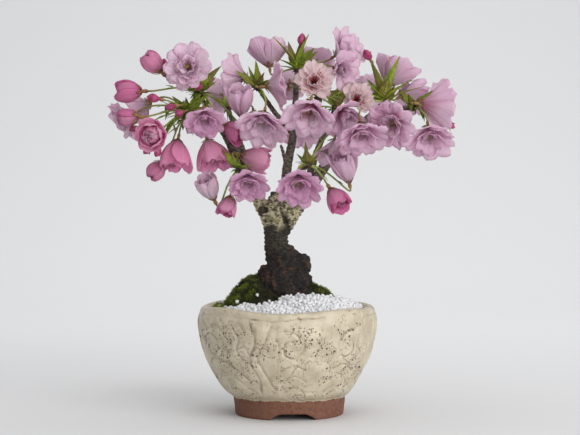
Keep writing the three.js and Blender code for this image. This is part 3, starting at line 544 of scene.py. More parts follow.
chips = []
for kind in range(CHIP_KINDS):
    bpy.ops.object.select_all(action="DESELECT")
    bpy.ops.mesh.primitive_ico_sphere_add(subdivisions=1, radius=CHIP_RADIUS)
    chip = bpy.context.object
    bpy.ops.object.mode_set(mode="EDIT")
    bpy.ops.mesh.select_all(action="SELECT")
    bpy.ops.transform.vertex_random(offset=0.6, seed=kind)
    bpy.ops.mesh.bevel(offset=0.12, segments=1, affect="EDGES")
    bpy.ops.object.mode_set(mode="OBJECT")
    chips.append(shape_of(chip.data))
    bpy.data.objects.remove(chip)

gravel_top, moss_top = surface_under("gravel"), surface_under("moss")
rng = random.Random(5)
grains = Heap()
for spacing, depth in zip(CHIP_SPACING, CHIP_DEPTH):
    taken = {}
    for _ in range(CHIP_TRIES):
        x, y = rng.uniform(-50, 56), rng.uniform(-52, 52)
        height_here = gravel_top(x, y)
        beyond = math.hypot(x - POT_X, y) > WALL_RADIUS - CHIP_RADIUS
        if height_here is None or beyond or x < GRAVEL_LEFT and y < GRAVEL_BACK:
            continue
        cell = (int(x // spacing), int(y // spacing))
        near = [taken.get((cell[0] + i, cell[1] + j)) for i in (-1, 0, 1) for j in (-1, 0, 1)]
        if any(n and math.hypot(n[0] - x, n[1] - y) < spacing for n in near):
            continue
        taken[cell] = (x, y)
        points, faces = chips[rng.randrange(CHIP_KINDS)]
        size = rng.uniform(0.65, 1.15)
        spot = (x, y, height_here + depth + rng.uniform(-0.3, 0.3))
        grains.add(points @ turned_any_way(rng) * size + spot, faces, marks=(rng.random(), 0, 0))
for x, y in STRAYS:
    points, faces = chips[rng.randrange(CHIP_KINDS)]
    spot = (x, y, (moss_top(x, y) or gravel_top(x, y)) + 1.2)
    turned = points @ turned_any_way(rng)
    grains.add(turned * rng.uniform(0.65, 1.1) + spot, faces, marks=(rng.random(), 0, 0))
points, faces = shape_of(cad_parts["gravel"].data, MM)
grains.add(points - (0, 0, 0.9), faces, marks=(0.1, 0, 0))  # the bed, a little lower than packed
marble = Finish("white_marble", Roughness=0.7)
white = marble.mixed(marble.marks()[0] ** 3.0, (241, 241, 241), (214, 217, 221))
greyed = marble.cloudy(900, 2).stepped(0.5, 0.75) * 0.25
marble.show("Base Color", marble.mixed(greyed, white, (206, 209, 214)))
marble.raise_by(marble.cloudy(1600, 2), 0.0003)
gravel = grains.piece("white_gravel", marble.material)
for face in gravel.data.polygons:
    face.use_smooth = False
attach(gravel, "root")
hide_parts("gravel")


# ---- Moss ----------------------------------------------------------------------------------------
# A cushion of bright moss over the heaped soil, in small humps, with tufts of short pointed shoots
# standing off it. The cushion is remeshed from the imported one, and tufts of five shoots are built over
# it.
# Its colour holds painted light and shade: lighter on top, darker in creases, at the front and near the
# stump.
MOSS_GRAIN = 0.9
TUFT_SHOOTS = 5
TUFT_COUNT = 4300
LOOSE_TUFTS = 0.14  # share of the tufts that grow on the fill beside the cushion, at the left
SHOOT_RADIUS = 0.24
MOSS_RIM_Z = 66  # below this the cushion lies against the bowl and stays as packed

bpy.ops.object.select_all(action="DESELECT")
cushion = bpy.data.objects.new("cushion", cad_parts["moss"].data.copy())
bpy.context.scene.collection.objects.link(cushion)
bpy.context.view_layer.objects.active = cushion
cushion.select_set(True)
bpy.ops.object.mode_set(mode="EDIT")
bpy.ops.mesh.select_all(action="SELECT")
bpy.ops.mesh.remove_doubles(threshold=1e-6)
bpy.ops.object.mode_set(mode="OBJECT")
applied(cushion, "REMESH", voxel_size=MOSS_GRAIN * MM)
spots = []
for vertex in cushion.data.vertices:
    place = vertex.co / MM
    crease = noise.voronoi(place / 7)[0][0]
    hump = 2.4 * (0.38 - crease) + 0.7 * noise.noise(place / 12) + 0.5 * noise.noise(place / 2.2)
    if vertex.normal.z > 0.1 and place.z > MOSS_RIM_Z:
        # The moss dips before the stump; that dip and the creases also get painted shade through the third
        # number kept.
        worn = 3 * math.exp(-(((place.x + 10) / 8) ** 2) - ((place.y + 16) / 8) ** 2)  # before the stump
        lifted = place + vertex.normal * hump - Vector((0, 0, worn))
        spots.append((lifted, vertex.normal.copy(), crease + 0.1 * worn))
        vertex.co = lifted * MM
tufts = Heap()
tufts.add(*shape_of(cushion.data, MM), marks=(0.15, 0, 0))
bpy.data.objects.remove(cushion)
rng = random.Random(8)
for _ in range(TUFT_COUNT):
    root, out, crease = rng.choice(spots)
    if rng.random() < LOOSE_TUFTS:
        x, y = rng.uniform(-50, GRAVEL_LEFT + 4), rng.uniform(-35, 14)
        if math.hypot(x - POT_X, y) < WALL_RADIUS - 0.5 and gravel_top(x, y):
            root, out, crease = Vector((x, y, gravel_top(x, y) - 0.3)), Vector((0, 0, 1)), 0.4
    far = math.hypot(root.x, root.y) - 14
    # Painted light and shade on each tuft: lighter on top, away from the trunk and facing back, painted
    # shade in creases, before the stump and facing the front; a random share is the moss's own tone.
    tone_and_painted_light = 0.35 * rng.random() + far / 26 + 0.3 * out.z + 0.45 * out.y - 1.7 * (crease - 0.35)
    tone_and_painted_light = min(1, max(0, tone_and_painted_light))
    for _ in range(TUFT_SHOOTS):
        lean = (out + Vector([rng.gauss(0, 0.45) for _ in range(3)])).normalized()
        side = lean.orthogonal().normalized() * SHOOT_RADIUS
        other = lean.cross(side).normalized() * SHOOT_RADIUS
        foot = root + Vector([rng.gauss(0, 0.35) for _ in range(3)]) - out * 0.3
        tip = foot + lean * rng.uniform(1.0, 2.1)
        corners = [foot + side, foot - side * 0.5 + other * 0.87, foot - side * 0.5 - other * 0.87, tip]
        marks = [(0.2, tone_and_painted_light, 0)] * 3 + [(1, tone_and_painted_light, 0)]
        tufts.add([tuple(c) for c in corners], [(0, 2, 1), (0, 1, 3), (1, 2, 3), (2, 0, 3)], marks=marks)
moss_green = Finish("moss_green", Roughness=0.9)
reach, tone_and_painted_light, _ = moss_green.marks()
# Darker towards the foot of each shoot and on the cushion; the painted light lifts the tips to
# yellow-green, and brown patches are fewer where it falls.
shade = moss_green.mixed(reach, (20, 22, 7), (52, 62, 16))
shade = moss_green.mixed(tone_and_painted_light * reach, shade, (154, 170, 42))
browned = moss_green.cloudy(110, 2).stepped(0.5, 0.66) * (1 - 0.7 * tone_and_painted_light)
moss_green.show("Base Color", moss_green.mixed(browned * 0.8, shade, (54, 42, 20)))
moss = tufts.piece("moss_cushion", moss_green.material)
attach(moss, "root")
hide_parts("moss")


# ---- Wood ----------------------------------------------------------------------------------------
# Stump, trunk, boughs and twigs grew as one. The stump is swollen, knobbly and almost black, the waist
# is ringed, and pale lichen covers the trunk where it was cut back and the boughs part. Rods of
# changing thickness are grown together on a grid, and the bark is raised on them by formula.
WOOD_GRAIN = 0.66
JOINT_ROUNDS = 4  # of smoothing, which fills the corners between limbs
LIMBS = [  # each is a run of (x, y, z, radius)
    [(1, 0, 42, 7), (1, 0, 58, 11.5), (0, 0, 74, 16), (0, 0, 86, 16.6), (1, 0, 97, 14), (-0.8, 0, 104, 11),
     (-3.8, 0, 110, 8.6), (-4.6, 0, 116, 7.7), (-4.6, 0, 124, 8.2), (-4, 0, 132, 6.4)],
    [(-4.4, 0, 123, 7.2), (-5.2, -1.5, 135, 6.5), (-5.4, -2, 144, 5.2), (-5.3, -2, 147.6, 2.4)],
    [(-4.4, 0, 120, 6.8), (-10, 0, 131, 5.5), (-16, 0, 142, 4.5), (-29, 0, 167, 3.9), (-37, -2, 185, 3.5),
     (-48.5, -5, 201.5, 2.2)],
    [(-3, 0, 119, 6), (8, 0, 135.5, 5.2), (13.5, 1, 143, 4.5), (29, 6, 166, 3.5), (50, 5, 190, 2.6),
     (66.7, -2, 207, 1.6)],
    [(-2, 2, 124, 6), (1.5, 2, 147, 3.6), (2.6, 0, 163, 3.2), (6.6, 0, 185, 2.7), (9.2, 4, 228, 1.6)],
    [(-44, -3.5, 195, 2.2), (-54, 0, 201, 1.8), (-62.4, -10, 199.8, 1.5)],
    [(-46.5, -4.5, 199, 2.1), (-52, 2, 206, 1.7), (-54.7, -6, 213.6, 1.5)],
    [(58, 2, 198, 1.9), (72, 6, 202, 1.6), (86.3, 4, 203.1, 1.4)],
    [(6.6, 0, 186, 2.1), (-6, 0, 201, 1.7), (-16.5, -4, 216.3, 1.4)],
    [(8, 1, 194, 2), (15, -3, 201, 1.7), (23, -8, 209.6, 1.4)],
    [(-25, 0, 160, 2.3), (-27, -11, 159, 1.9), (-28.6, -24, 163.3, 1.5)],
    [(2.4, 0, 156, 2.2), (8, -12, 158, 1.8), (16.3, -26, 165.9, 1.5)],
    [(-20, 0, 150, 3), (-26, 12, 171, 2.4), (-37.4, 30, 203.3, 1.5)],
    [(14, 1, 139, 3.2), (19, 13, 163, 2.5), (35, 28, 203.3, 1.5)],
    [(2.5, -1, 165, 1.7), (-1.5, -5, 179, 0.9)],
]
LUMPS = [  # (x, y, z, radius) of the swellings of the stump
    (9.5, -1, 98.5, 9), (11.5, 0, 88, 7.5), (8, -6, 90, 9), (-9.5, -4, 80, 8.5), (13, -3, 79, 6.5),
    (2, -9, 82, 9.5), (-6, 9, 84, 9), (8, 8, 92, 9), (5, -3, 105, 5.5), (-10, 1, 93, 6.5),
]
CLEFTS = [  # where limbs part: depth, then a run of (x, z) seen from the front
    (1.8, [(7.0, 117), (4.6, 122), (1.6, 129), (-0.7, 136.5), (-1.6, 142)]),
    (1.0, [(-11.8, 129), (-11.4, 137), (-9.6, 145)]),
]
CLEFT_RADIUS = 1.1
STUMP_TOP, TRUNK_TOP = (103, 112), (140, 158)  # heights over which the one bark gives way to the next

bpy.ops.object.select_all(action="DESELECT")
rods = []
for stations in LIMBS:
    line = bpy.data.curves.new("rod", "CURVE")
    line.dimensions = "3D"
    line.bevel_depth = MM
    line.bevel_resolution = 3
    line.resolution_u = 8
    line.use_fill_caps = True
    spline = line.splines.new("BEZIER")
    spline.bezier_points.add(len(stations) - 1)
    for point, (x, y, z, thick) in zip(spline.bezier_points, stations):
        point.co = Vector((x, y, z)) * MM
        point.radius = thick
        point.handle_left_type = point.handle_right_type = "AUTO"
    rods.append(bpy.data.objects.new("rod", line))
    bpy.context.scene.collection.objects.link(rods[-1])
for x, y, z, thick in LUMPS:
    middle = Vector((x, y, z)) * MM
    bpy.ops.mesh.primitive_ico_sphere_add(subdivisions=3, radius=thick * MM, location=middle)
    rods.append(bpy.context.object)
bpy.ops.object.select_all(action="DESELECT")
for rod in rods:
    rod.select_set(True)
bpy.context.view_layer.objects.active = rods[0]
bpy.ops.object.convert(target="MESH")
bpy.ops.object.join()
wood = bpy.context.object
wood.name = "cherry_wood"
bpy.ops.object.transform_apply(location=True, rotation=True, scale=True)
applied(wood, "REMESH", voxel_size=WOOD_GRAIN * MM)
applied(wood, "SMOOTH", iterations=JOINT_ROUNDS)


def ramp(value, low, high):
    """0 below `low`, 1 above `high`, smoothly between."""
    t = min(1, max(0, (value - low) / (high - low)))
    return t * t * (3 - 2 * t)


clefts = [(depth, smooth_run(line, 0.8)) for depth, line in CLEFTS]
bark = []
for vertex in wood.data.vertices:
    place = vertex.co / MM
    stump = 1 - ramp(place.z, *STUMP_TOP)
    trunk = ramp(place.z, *STUMP_TOP) * (1 - ramp(place.z, *TRUNK_TOP))
    knobs = 1 - abs(noise.noise(place / 6.5)) * 2
    cracks = 1 - abs(noise.noise(Vector((place.x / 3.2, place.y / 3.2, place.z / 5.5)))) * 2
    fine = noise.noise(place / 1.6)
    rings = math.sin(place.z * 2.1 + 3 * noise.noise(place / 7))
    rise = stump * (1.7 * knobs + 0.7 * cracks + 0.6 * fine - 1.2)
    rise += trunk * (0.45 * knobs + 0.3 * rings + 0.35 * fine + 0.4 * cracks - 0.5)
    rise += (1 - stump - trunk) * (0.12 * knobs + 0.1 * rings + 0.12 * fine)
    if place.y < 0 and trunk:
        for depth, line in clefts:
            gap = min(math.hypot(place.x - x, place.z - z) for x, z in line)
            rise -= depth * math.exp(-((gap / CLEFT_RADIUS) ** 2))
    bark.append(rise)
normals = [v.normal.copy() for v in wood.data.vertices]
for vertex, rise, normal in zip(wood.data.vertices, bark, normals):
    vertex.co += normal * rise * MM
keep_on_points(wood.data, "bark_height", bark)
bpy.ops.object.shade_smooth()

bark_skin = Finish("cherry_bark", Roughness=0.85)
above = bark_skin.parts(bark_skin.place())[2] + 0.014 * (bark_skin.cloudy(90, 3) - 0.5)
raised = bark_skin.number("bark_height")
flecks = bark_skin.cloudy(420, 4, stretch=(1, 1, 2.2))
patches = bark_skin.cloudy(150, 4)
strokes = bark_skin.cloudy(560, 2, stretch=(0.7, 0.7, 2.2))
black = bark_skin.mixed(flecks.stepped(0.45, 0.7), (15, 13, 12), (52, 42, 35))
black = bark_skin.mixed(patches.stepped(0.5, 0.62) * flecks.stepped(0.35, 0.6) * 0.6, black, (96, 60, 44))
ringed = bark_skin.mixed(flecks.stepped(0.4, 0.65), (26, 24, 20), (72, 65, 51))
pale = bark_skin.mixed(patches.stepped(0.41, 0.55), (72, 62, 42), (212, 202, 168))
pale = bark_skin.mixed(bark_skin.cloudy(150, 2).stepped(0.54, 0.62) * 0.75, pale, (96, 98, 42))
pale = bark_skin.mixed(strokes.stepped(0.57, 0.62) * 0.9, pale, (40, 33, 24))
grey = bark_skin.mixed(flecks.stepped(0.38, 0.66), (60, 51, 44), (130, 120, 108))
grey = bark_skin.mixed(patches.stepped(0.54, 0.68) * 0.35, grey, (104, 106, 72))
skin = bark_skin.mixed(above.stepped(0.106, 0.112), black, ringed)
skin = bark_skin.mixed(above.stepped(0.122, 0.127), skin, pale)
skin = bark_skin.mixed(above.stepped(0.146, 0.156), skin, grey)
# Painted shade: where the bark lies low, in its cracks and clefts, it is painted darker.
painted_hollow_shade = (raised * -0.8).stepped(0.1, 0.9)
bark_skin.show("Base Color", bark_skin.mixed(painted_hollow_shade * 0.7, skin, (24, 19, 16)))
bark_skin.raise_by(0.6 * flecks + 0.4 * bark_skin.cloudy(1100, 3), 0.0011)
wood.data.materials.clear()
wood.data.materials.append(bark_skin.material)
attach(wood, "root")
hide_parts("wood")


# ---- Sprays --------------------------------------------------------------------------------------
# On each twig tip brown bud scales hold a spray: thin green stalks, each ending in a reddish tube and
# five pointed sepals under its flower, with small closed buds, fringed bracts and folded young leaves
# with saw-toothed edges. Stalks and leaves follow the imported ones, and are closed skins set by formula.
CUP_LENGTH = 5.0
SPRAYS = {  # hubs, then leaves as (turn, lift, length, width)
    "left": (
        [(-54.7, -6, 213.6), (-62.4, -10, 199.8)],
        [(40, 45, 28, 8), (70, 15, 20, 7), (-40, -50, 13, 5), (-10, -70, 14, 4)],
    ),
    "top_left": ([(-16.5, -4, 216.3)], [(40, 66, 12, 4), (160, 50, 13, 5)]),
    "top": (
        [(9.2, 4, 228.3)],
        [(60, 78, 25, 6), (-75, 62, 27, 7), (-60, 35, 16, 5), (-90, 20, 14, 4), (130, 60, 18, 6)],
    ),
    "centre": ([(23, -8, 209.6)], [(60, 40, 12, 5)]),
    "right": (
        [(66.7, -2, 207.1)],
        [(-40, 70, 31, 7), (40, 72, 33, 8), (70, 45, 25, 7), (80, 30, 27, 5), (-70, 50, 20, 5),
         (-80, 30, 20, 5), (10, 60, 21, 8)],
    ),
    "far_right": ([(86.3, 4, 203.1)], [(-30, 60, 12, 5)]),
    "low_left": ([(-28.6, -24, 163.3)], [(-30, 30, 11, 6), (70, 25, 10, 5)]),
    "low_right": ([(16.3, -26, 165.9)], [(-10, 60, 12, 7), (-80, -20, 12, 4)]),
    "back_left": ([(-37.4, 30, 203.3)], [(170, 60, 24, 7), (230, 35, 20, 6)]),
    "back_right": ([(35, 28, 203.3)], [(150, 65, 24, 7), (200, 50, 22, 7)]),
}
BLOOMS = [  # name, spray, hub, kind, base, turn, lift, petal length, sway of the stalk
    ("left_crown", "left", 0, "open", (-61, -22, 229), -5, 8, 16),
    ("left_upper_bud", "left", 0, "bud", (-80, -13, 227), -80, 46, 18),
    ("left_side_bud", "left", 0, "bud", (-93, -14, 214), -88, 0, 20),
    ("far_left", "left", 1, "bell", (-89, 12, 207), -115, -25, 17),
    ("left_low_bud", "left", 1, "bud", (-95, -20, 197), -88, -4, 15),
    ("far_left_low", "left", 1, "wide", (-100, 2, 198), -62, -32, 16),
    ("left_rose", "left", 1, "rose", (-83, -28, 186), -15, -5, 16),
    ("left_bottom_bud", "left", 1, "bud", (-80, -7, 167), -55, -50, 16),
    ("left_hanging", "left", 1, "skirt", (-69, -11, 182), -25, -68, 24),
    ("left_inner", "left", 1, "skirt", (-50, -7, 182), 38, -60, 24, (-3, -6, -3)),
    ("left_front", "left", 1, "bell", (-51, -31, 201), 8, -45, 18),
    ("left_opening", "left", 0, "half", (-37, -19, 192), 62, -32, 17),
    ("upper_cup", "left", 0, "cup", (-27, -11, 198), -12, 64, 23),
    ("top_left_side", "top_left", 0, "bell", (-24, 2, 223), -115, 12, 19),
    ("top_back", "top", 0, "back", (-9, 9, 231), 190, 60, 21),
    ("top_left_right", "top_left", 0, "wide", (-11, -16, 217), 100, 4, 18),
    ("centre_left", "top_left", 0, "bell", (-12, -31, 200), -12, -48, 22),
    ("centre_faded", "centre", 0, "faded", (20, -23, 219), 0, 15, 14),
    ("centre", "centre", 0, "bell", (18, -35, 207), -10, -48, 23),
    ("centre_right", "centre", 0, "bell", (38, -20, 203), 25, -38, 20),
    ("top_right", "top", 0, "bell", (35, 0, 238), 55, 30, 19),
    ("top_right_low", "top", 0, "wide", (35, -16, 229), 30, -12, 15),
    ("top_behind", "top", 0, "back", (20, 17, 226), 170, 52, 20),
    ("right_back", "right", 0, "back", (70, 10, 218), 125, 60, 23),
    ("far_right_side", "far_right", 0, "bell", (90, -4, 206), 116, -6, 25),
    ("far_right_low", "far_right", 0, "bell", (95, -14, 191), 4, -48, 22),
    ("right_rose", "right", 0, "wide", (74, -30, 195), -32, -20, 18),
    ("right_front", "right", 0, "bell", (50, -33, 193), 10, -50, 22),
    ("right_faded", "centre", 0, "faded", (48, -20, 208), -5, 10, 12),
    ("low_right_cup", "low_right", 0, "cup", (43, -22, 155), -28, 62, 24),
    ("low_right", "low_right", 0, "bell", (10, -41, 160), 0, -42, 20),
    ("low_left", "low_left", 0, "bell", (-23, -37, 160), 5, -42, 17),
    ("low_left_cup", "low_left", 0, "cup", (-45, -26, 144), -40, 56, 19),
    ("low_left_bud", "low_left", 0, "half", (-34, -24, 145), -40, -65, 15),
    ("low_right_bud", "low_right", 0, "half", (31, -29, 150), 42, -46, 18),
    ("low_inner", "low_left", 0, "half", (-27, -13, 172), 80, -14, 21),
    ("right_inner", "low_right", 0, "bell", (34, -7, 182), -15, -60, 18),
    ("right_behind", "right", 0, "wide", (79, 13, 211), 130, 22, 19),
    ("back_left", "back_left", 0, "back", (-39, 43, 212), 200, 0, 17),
    ("back_left_low", "back_left", 0, "bell", (-20, 35, 200), 170, -45, 18),
    ("back_middle", "back_right", 0, "bell", (12, 32, 194), 190, -55, 18),
    ("back_top", "back_right", 0, "back", (5, 45, 219), 180, 5, 17),
    ("back_right", "back_right", 0, "back", (54, 41, 216), 150, 0, 17),
    ("back_far_right", "back_right", 0, "bell", (66, 25, 193), 140, -50, 18),
]
SMALL_BUDS = [  # spray, hub, base, turn, lift, length
    ("left", 0, (-78, 0, 230), -20, 70, 7),
    ("left", 1, (-82, -18, 209), -80, 10, 8),
    ("left", 1, (-71, -23, 204), -60, -10, 7),
    ("left", 1, (-66, -29, 200), -30, -10, 7),
    ("left", 1, (-96, -13, 190), -80, -20, 6),
    ("left", 1, (-87, -17, 177), -60, -40, 7),
    ("left", 1, (-81, -19, 176), -30, -50, 7),
    ("left", 0, (-55, -24, 217), 0, 0, 7),
    ("top", 0, (12, 4, 246), 20, 70, 8),
    ("right", 0, (57, -2, 236), -50, 50, 8),
    ("far_right", 0, (110, 8, 192), 60, -20, 6),
]
LEAF_FULLNESS = 1.2
HUB_SCALES = 9
TUFT_LEAVES = {"left": 48}  # small leaves close round a hub; the others have 9
YOUNG_LEAVES = {"left": 7, "top_left": 6, "top": 11, "right": 13, "low_left": 2, "low_right": 3}
BRACTS = {"left": 4}  # on each stalk; the others have 2
BRONZED = ("left", "top_left", "low_right")  # sprays whose leaves are still brown
STALK_STEPS = 13
FLOWER_STALK, BUD_STALK = (0.62, 7), (0.55, 6)  # radius and sides
CLOSED_CALYXES = {  # for closed flowers: how far the sepals stand off in degrees, and their droop
    "bud": (62, -0.3),
    "half": (50, -0.15),
    "rose": (62, -0.3),
    "cup": (40, -0.15),
}
UP = np.array((0.0, 0.0, 1.0))
STALK, LEAF, SCALE, BUD = range(4)  # the finishes of a spray


def unit(vector):
    return vector / np.linalg.norm(vector)


def heading(turn, lift):
    """The way something points: turn is round the tree from its front, lift is above level."""
    t, l = math.radians(turn), math.radians(lift)
    return np.array((math.sin(t) * math.cos(l), -math.cos(t) * math.cos(l), math.sin(l)))


def ring_faces(rows, sides):
    """The faces between rings of points, with both ends closed."""
    faces = []
    for k in range(rows - 1):
        for s in range(sides):
            a, b = k * sides + s, k * sides + (s + 1) % sides
            faces.append((a, b, b + sides, a + sides))
    last = (rows - 1) * sides
    return faces + [tuple(range(sides))[::-1], tuple(range(last, last + sides))]


def facing_out(points, faces):
    """The faces of a closed shape, turned round if they look inwards."""
    points = np.asarray(points, float)
    middle = points.mean(0)
    volume = 0
    for face in faces:
        first = points[face[0]] - middle
        for b, c in zip(face[1:], face[2:]):
            volume += np.dot(first, np.cross(points[b] - middle, points[c] - middle))
    return faces if volume > 0 else [face[::-1] for face in faces]


def tube(path, radii, sides):
    """A closed tube through points, thick as the radii say."""
    path = np.asarray(path, float)
    level = np.array((1.0, 0, 0)) if abs(unit(path[-1] - path[0])[2]) > 0.9 else UP
    points = []
    for at, way, radius in zip(path, np.gradient(path, axis=0), radii):
        side = unit(np.cross(unit(way), level))
        other = np.cross(side, unit(way))
        for s in range(sides):
            a = 2 * math.pi * s / sides
            points.append(at + radius * (math.cos(a) * side + math.sin(a) * other))
    return points, facing_out(points, ring_faces(len(path), sides))


def skin(grid, thickness):
    """A closed thin skin on rows and columns of points, and the faces of it."""
    rows, columns = grid.shape[:2]
    normal = np.cross(np.gradient(grid, axis=0), np.gradient(grid, axis=1))
    normal /= np.maximum(np.linalg.norm(normal, axis=2, keepdims=True), 1e-9)
    upper = (grid + normal * thickness / 2).reshape(-1, 3)
    lower = (grid - normal * thickness / 2).reshape(-1, 3)
    n = rows * columns
    faces = []
    for r in range(rows - 1):
        for c in range(columns - 1):
            a, b = r * columns + c, r * columns + c + 1
            d, e = a + columns, b + columns
            faces += [(a, d, e, b), (n + a, n + b, n + e, n + d)]
    ring = [r * columns for r in range(rows)]
    ring += [(rows - 1) * columns + c for c in range(1, columns)]
    ring += [r * columns + columns - 1 for r in range(rows - 2, -1, -1)]
    ring += list(range(columns - 2, 0, -1))
    faces += [(b, a, n + a, n + b) for a, b in zip(ring, ring[1:] + ring[:1])]
    return np.vstack((upper, lower)), faces


def add_skin(heap, points, thickness, finish, s, t, tone):
    """A skin whose marks are its share along, its share across and a tone."""
    one = np.stack((s.ravel(), t.ravel(), np.full(s.size, tone)), 1)
    heap.add(*skin(points, thickness), finish, np.vstack((one, one)))


def add_blade(heap, finish, foot, along, length, width, shape, thickness, tone, up=UP):
    """A leaf, scale or sepal. `shape` is its edge, droop, fold, and rows and columns of points."""
    edge, droop, fold, rows, columns = shape
    side = unit(np.cross(along, up))
    rise = unit(np.cross(side, along))
    s, t = np.meshgrid(np.linspace(0, 1, rows), np.linspace(-1, 1, columns), indexing="ij")
    across = t * np.maximum(edge(s) * width / 2, 0.05)
    lifted = -droop * length * s**2 + fold * np.abs(across)
    points = (
        foot
        + s[..., None] * length * along
        + across[..., None] * side
        + lifted[..., None] * rise
    )
    add_skin(heap, points, thickness, finish, s, t, tone)


def saw_edge(s):
    """A young leaf's half width: widest at a third, long-pointed, with teeth that look forwards."""
    teeth = 1 - 0.2 * ((s * 11) % 1) * (s > 0.08) * (s < 0.96)
    plain = np.clip(np.sin(math.pi * np.clip(s, 0, 1) ** 0.62), 0, 1) ** 0.9
    return plain * teeth * np.where(s > 0.45, 1.12 - 0.3 * s, 1)


def plain_edge(s):
    return np.sin(math.pi * np.clip(s, 0, 1) ** 0.8) ** 0.7


def add_stalk(heap, hub, base, axis, radius, sides, bracts, rng, sway=(0, 0, 0)):
    """From the hub up and over, and in along the flower's axis, with fringed bracts on its lower half."""
    end = base - axis * CUP_LENGTH
    reach = np.linalg.norm(end - hub)
    leave = unit(unit(end - hub) + 0.5 * UP)
    stops = hub, hub + leave * reach * 0.4 + sway, end - axis * reach * 0.3 + sway, end
    path = []
    for u in np.linspace(0, 1, STALK_STEPS):
        shares = (1 - u) ** 3, 3 * u * (1 - u) ** 2, 3 * u * u * (1 - u), u**3
        path.append(sum(share * stop for share, stop in zip(shares, stops)))
    marks = [(k / (STALK_STEPS - 1), 0, 0) for k in range(STALK_STEPS) for _ in range(sides)]
    heap.add(*tube(path, [radius] * STALK_STEPS, sides), STALK, marks)
    for _ in range(bracts):
        at = rng.randrange(2, STALK_STEPS // 2 + 1)
        along = unit(unit(path[at + 1] - path[at]) * 0.8 + [rng.gauss(0, 0.6) for _ in range(3)])
        length, width = rng.uniform(4, 9), rng.uniform(1.4, 2.4)
        shape = (saw_edge, 0.2, 0.4, 9, 5)
        add_blade(heap, LEAF, path[at], along, length, width, shape, 0.25, 0.2 * rng.random())


def add_calyx(heap, base, axis, size, spread, droop, rng):
    """The reddish tube under a flower and its five sepals. `spread` is how far those stand off."""
    steps = np.array((0, 0.12, 0.3, 0.55, 0.78, 1.0))
    radii = np.array((0.62, 1.05, 1.35, 1.25, 1.2, 1.75)) * size
    path = [base - axis * CUP_LENGTH * (1 - s) for s in steps]
    heap.add(*tube(path, radii, 8), SCALE, [(s, 0, 0.3) for s in steps for _ in range(8)])
    across = unit(np.cross(UP, axis))
    upward = np.cross(axis, across)
    start = rng.uniform(0, 6)
    for k in range(5):
        a = start + k * 2 * math.pi / 5
        out = math.cos(a) * across + math.sin(a) * upward
        along = unit(out * math.sin(spread) + axis * math.cos(spread))
        foot = base + out * 1.35 * size - axis * 0.9
        shape = (plain_edge, droop, 0.1, 7, 5)
        add_blade(heap, SCALE, foot, along, 5.6 * size, 2.3 * size, shape, 0.3, 0.6, axis)


def add_small_bud(heap, base, axis, length, rng):
    """A closed bud: wrapped petals whose seams wind up it, in its calyx."""
    across = unit(np.cross(UP, axis) + 1e-4)
    upward = np.cross(axis, across)
    rows, sides = 9, 12
    points, marks = [], []
    for s in (k / (rows - 1) for k in range(rows)):
        girth = 0.36 * length * max(0.06, math.sin(math.pi * (0.12 + 0.86 * s)) ** 0.8)
        for a in (2 * math.pi * j / sides for j in range(sides)):
            seam = 1 + 0.09 * math.sin(3 * a + 4 * s)
            out = math.cos(a) * across + math.sin(a) * upward
            points.append(base + axis * length * (s - 0.12) + out * girth * seam)
            marks.append((s, 0, rng.random()))
    heap.add(points, facing_out(points, ring_faces(rows, sides)), BUD, marks)
    add_calyx(heap, base, axis, 0.85, 0.35, 0.1, rng)


stalk_green = Finish("stalk_green", Roughness=0.5)
fresh = stalk_green.mixed(stalk_green.cloudy(200), (120, 140, 52), (172, 184, 92))
reddened = stalk_green.marks()[0].stepped(0.5, 1.0) * 0.6
stalk_green.show("Base Color", stalk_green.mixed(reddened, fresh, (120, 78, 52)))

leaf_green = Finish("leaf_green", Roughness=0.5)
along, across, bronze = leaf_green.marks()
veins = ((along - 0.3 * abs(across)) * 60.0).sine()
rib = 1 - abs(across).stepped(0.0, 0.16)
green = leaf_green.mixed(leaf_green.cloudy(160, 3).stepped(0.35, 0.65), (108, 134, 20), (172, 196, 52))
green = leaf_green.mixed(bronze * leaf_green.cloudy(70, 2).stepped(0.35, 0.6), green, (146, 112, 60))
green = leaf_green.mixed(rib * 0.6, green, (186, 196, 104))
leaf_green.show("Base Color", leaf_green.mixed(veins.stepped(0.7, 1.0) * 0.35, green, (150, 160, 74)))
leaf_green.raise_by(0.5 * veins + rib, 0.0005)

scale_red = Finish("scale_red", Roughness=0.5)
dried = scale_red.marks()[2].stepped(0.85, 0.95)
ruddy = scale_red.mixed(scale_red.cloudy(260, 2).stepped(0.35, 0.65), (124, 66, 54), (150, 128, 66))
scale_red.show("Base Color", scale_red.mixed(dried, ruddy, (58, 36, 26)))

bud_pink = Finish("bud_pink", Roughness=0.45)
darker = bud_pink.marks()[0].stepped(0.5, 1.0) * 0.5
rosy = bud_pink.mixed(bud_pink.cloudy(300, 2).stepped(0.35, 0.65), (150, 40, 92), (184, 74, 126))
bud_pink.show("Base Color", bud_pink.mixed(darker, rosy, (120, 24, 66)))

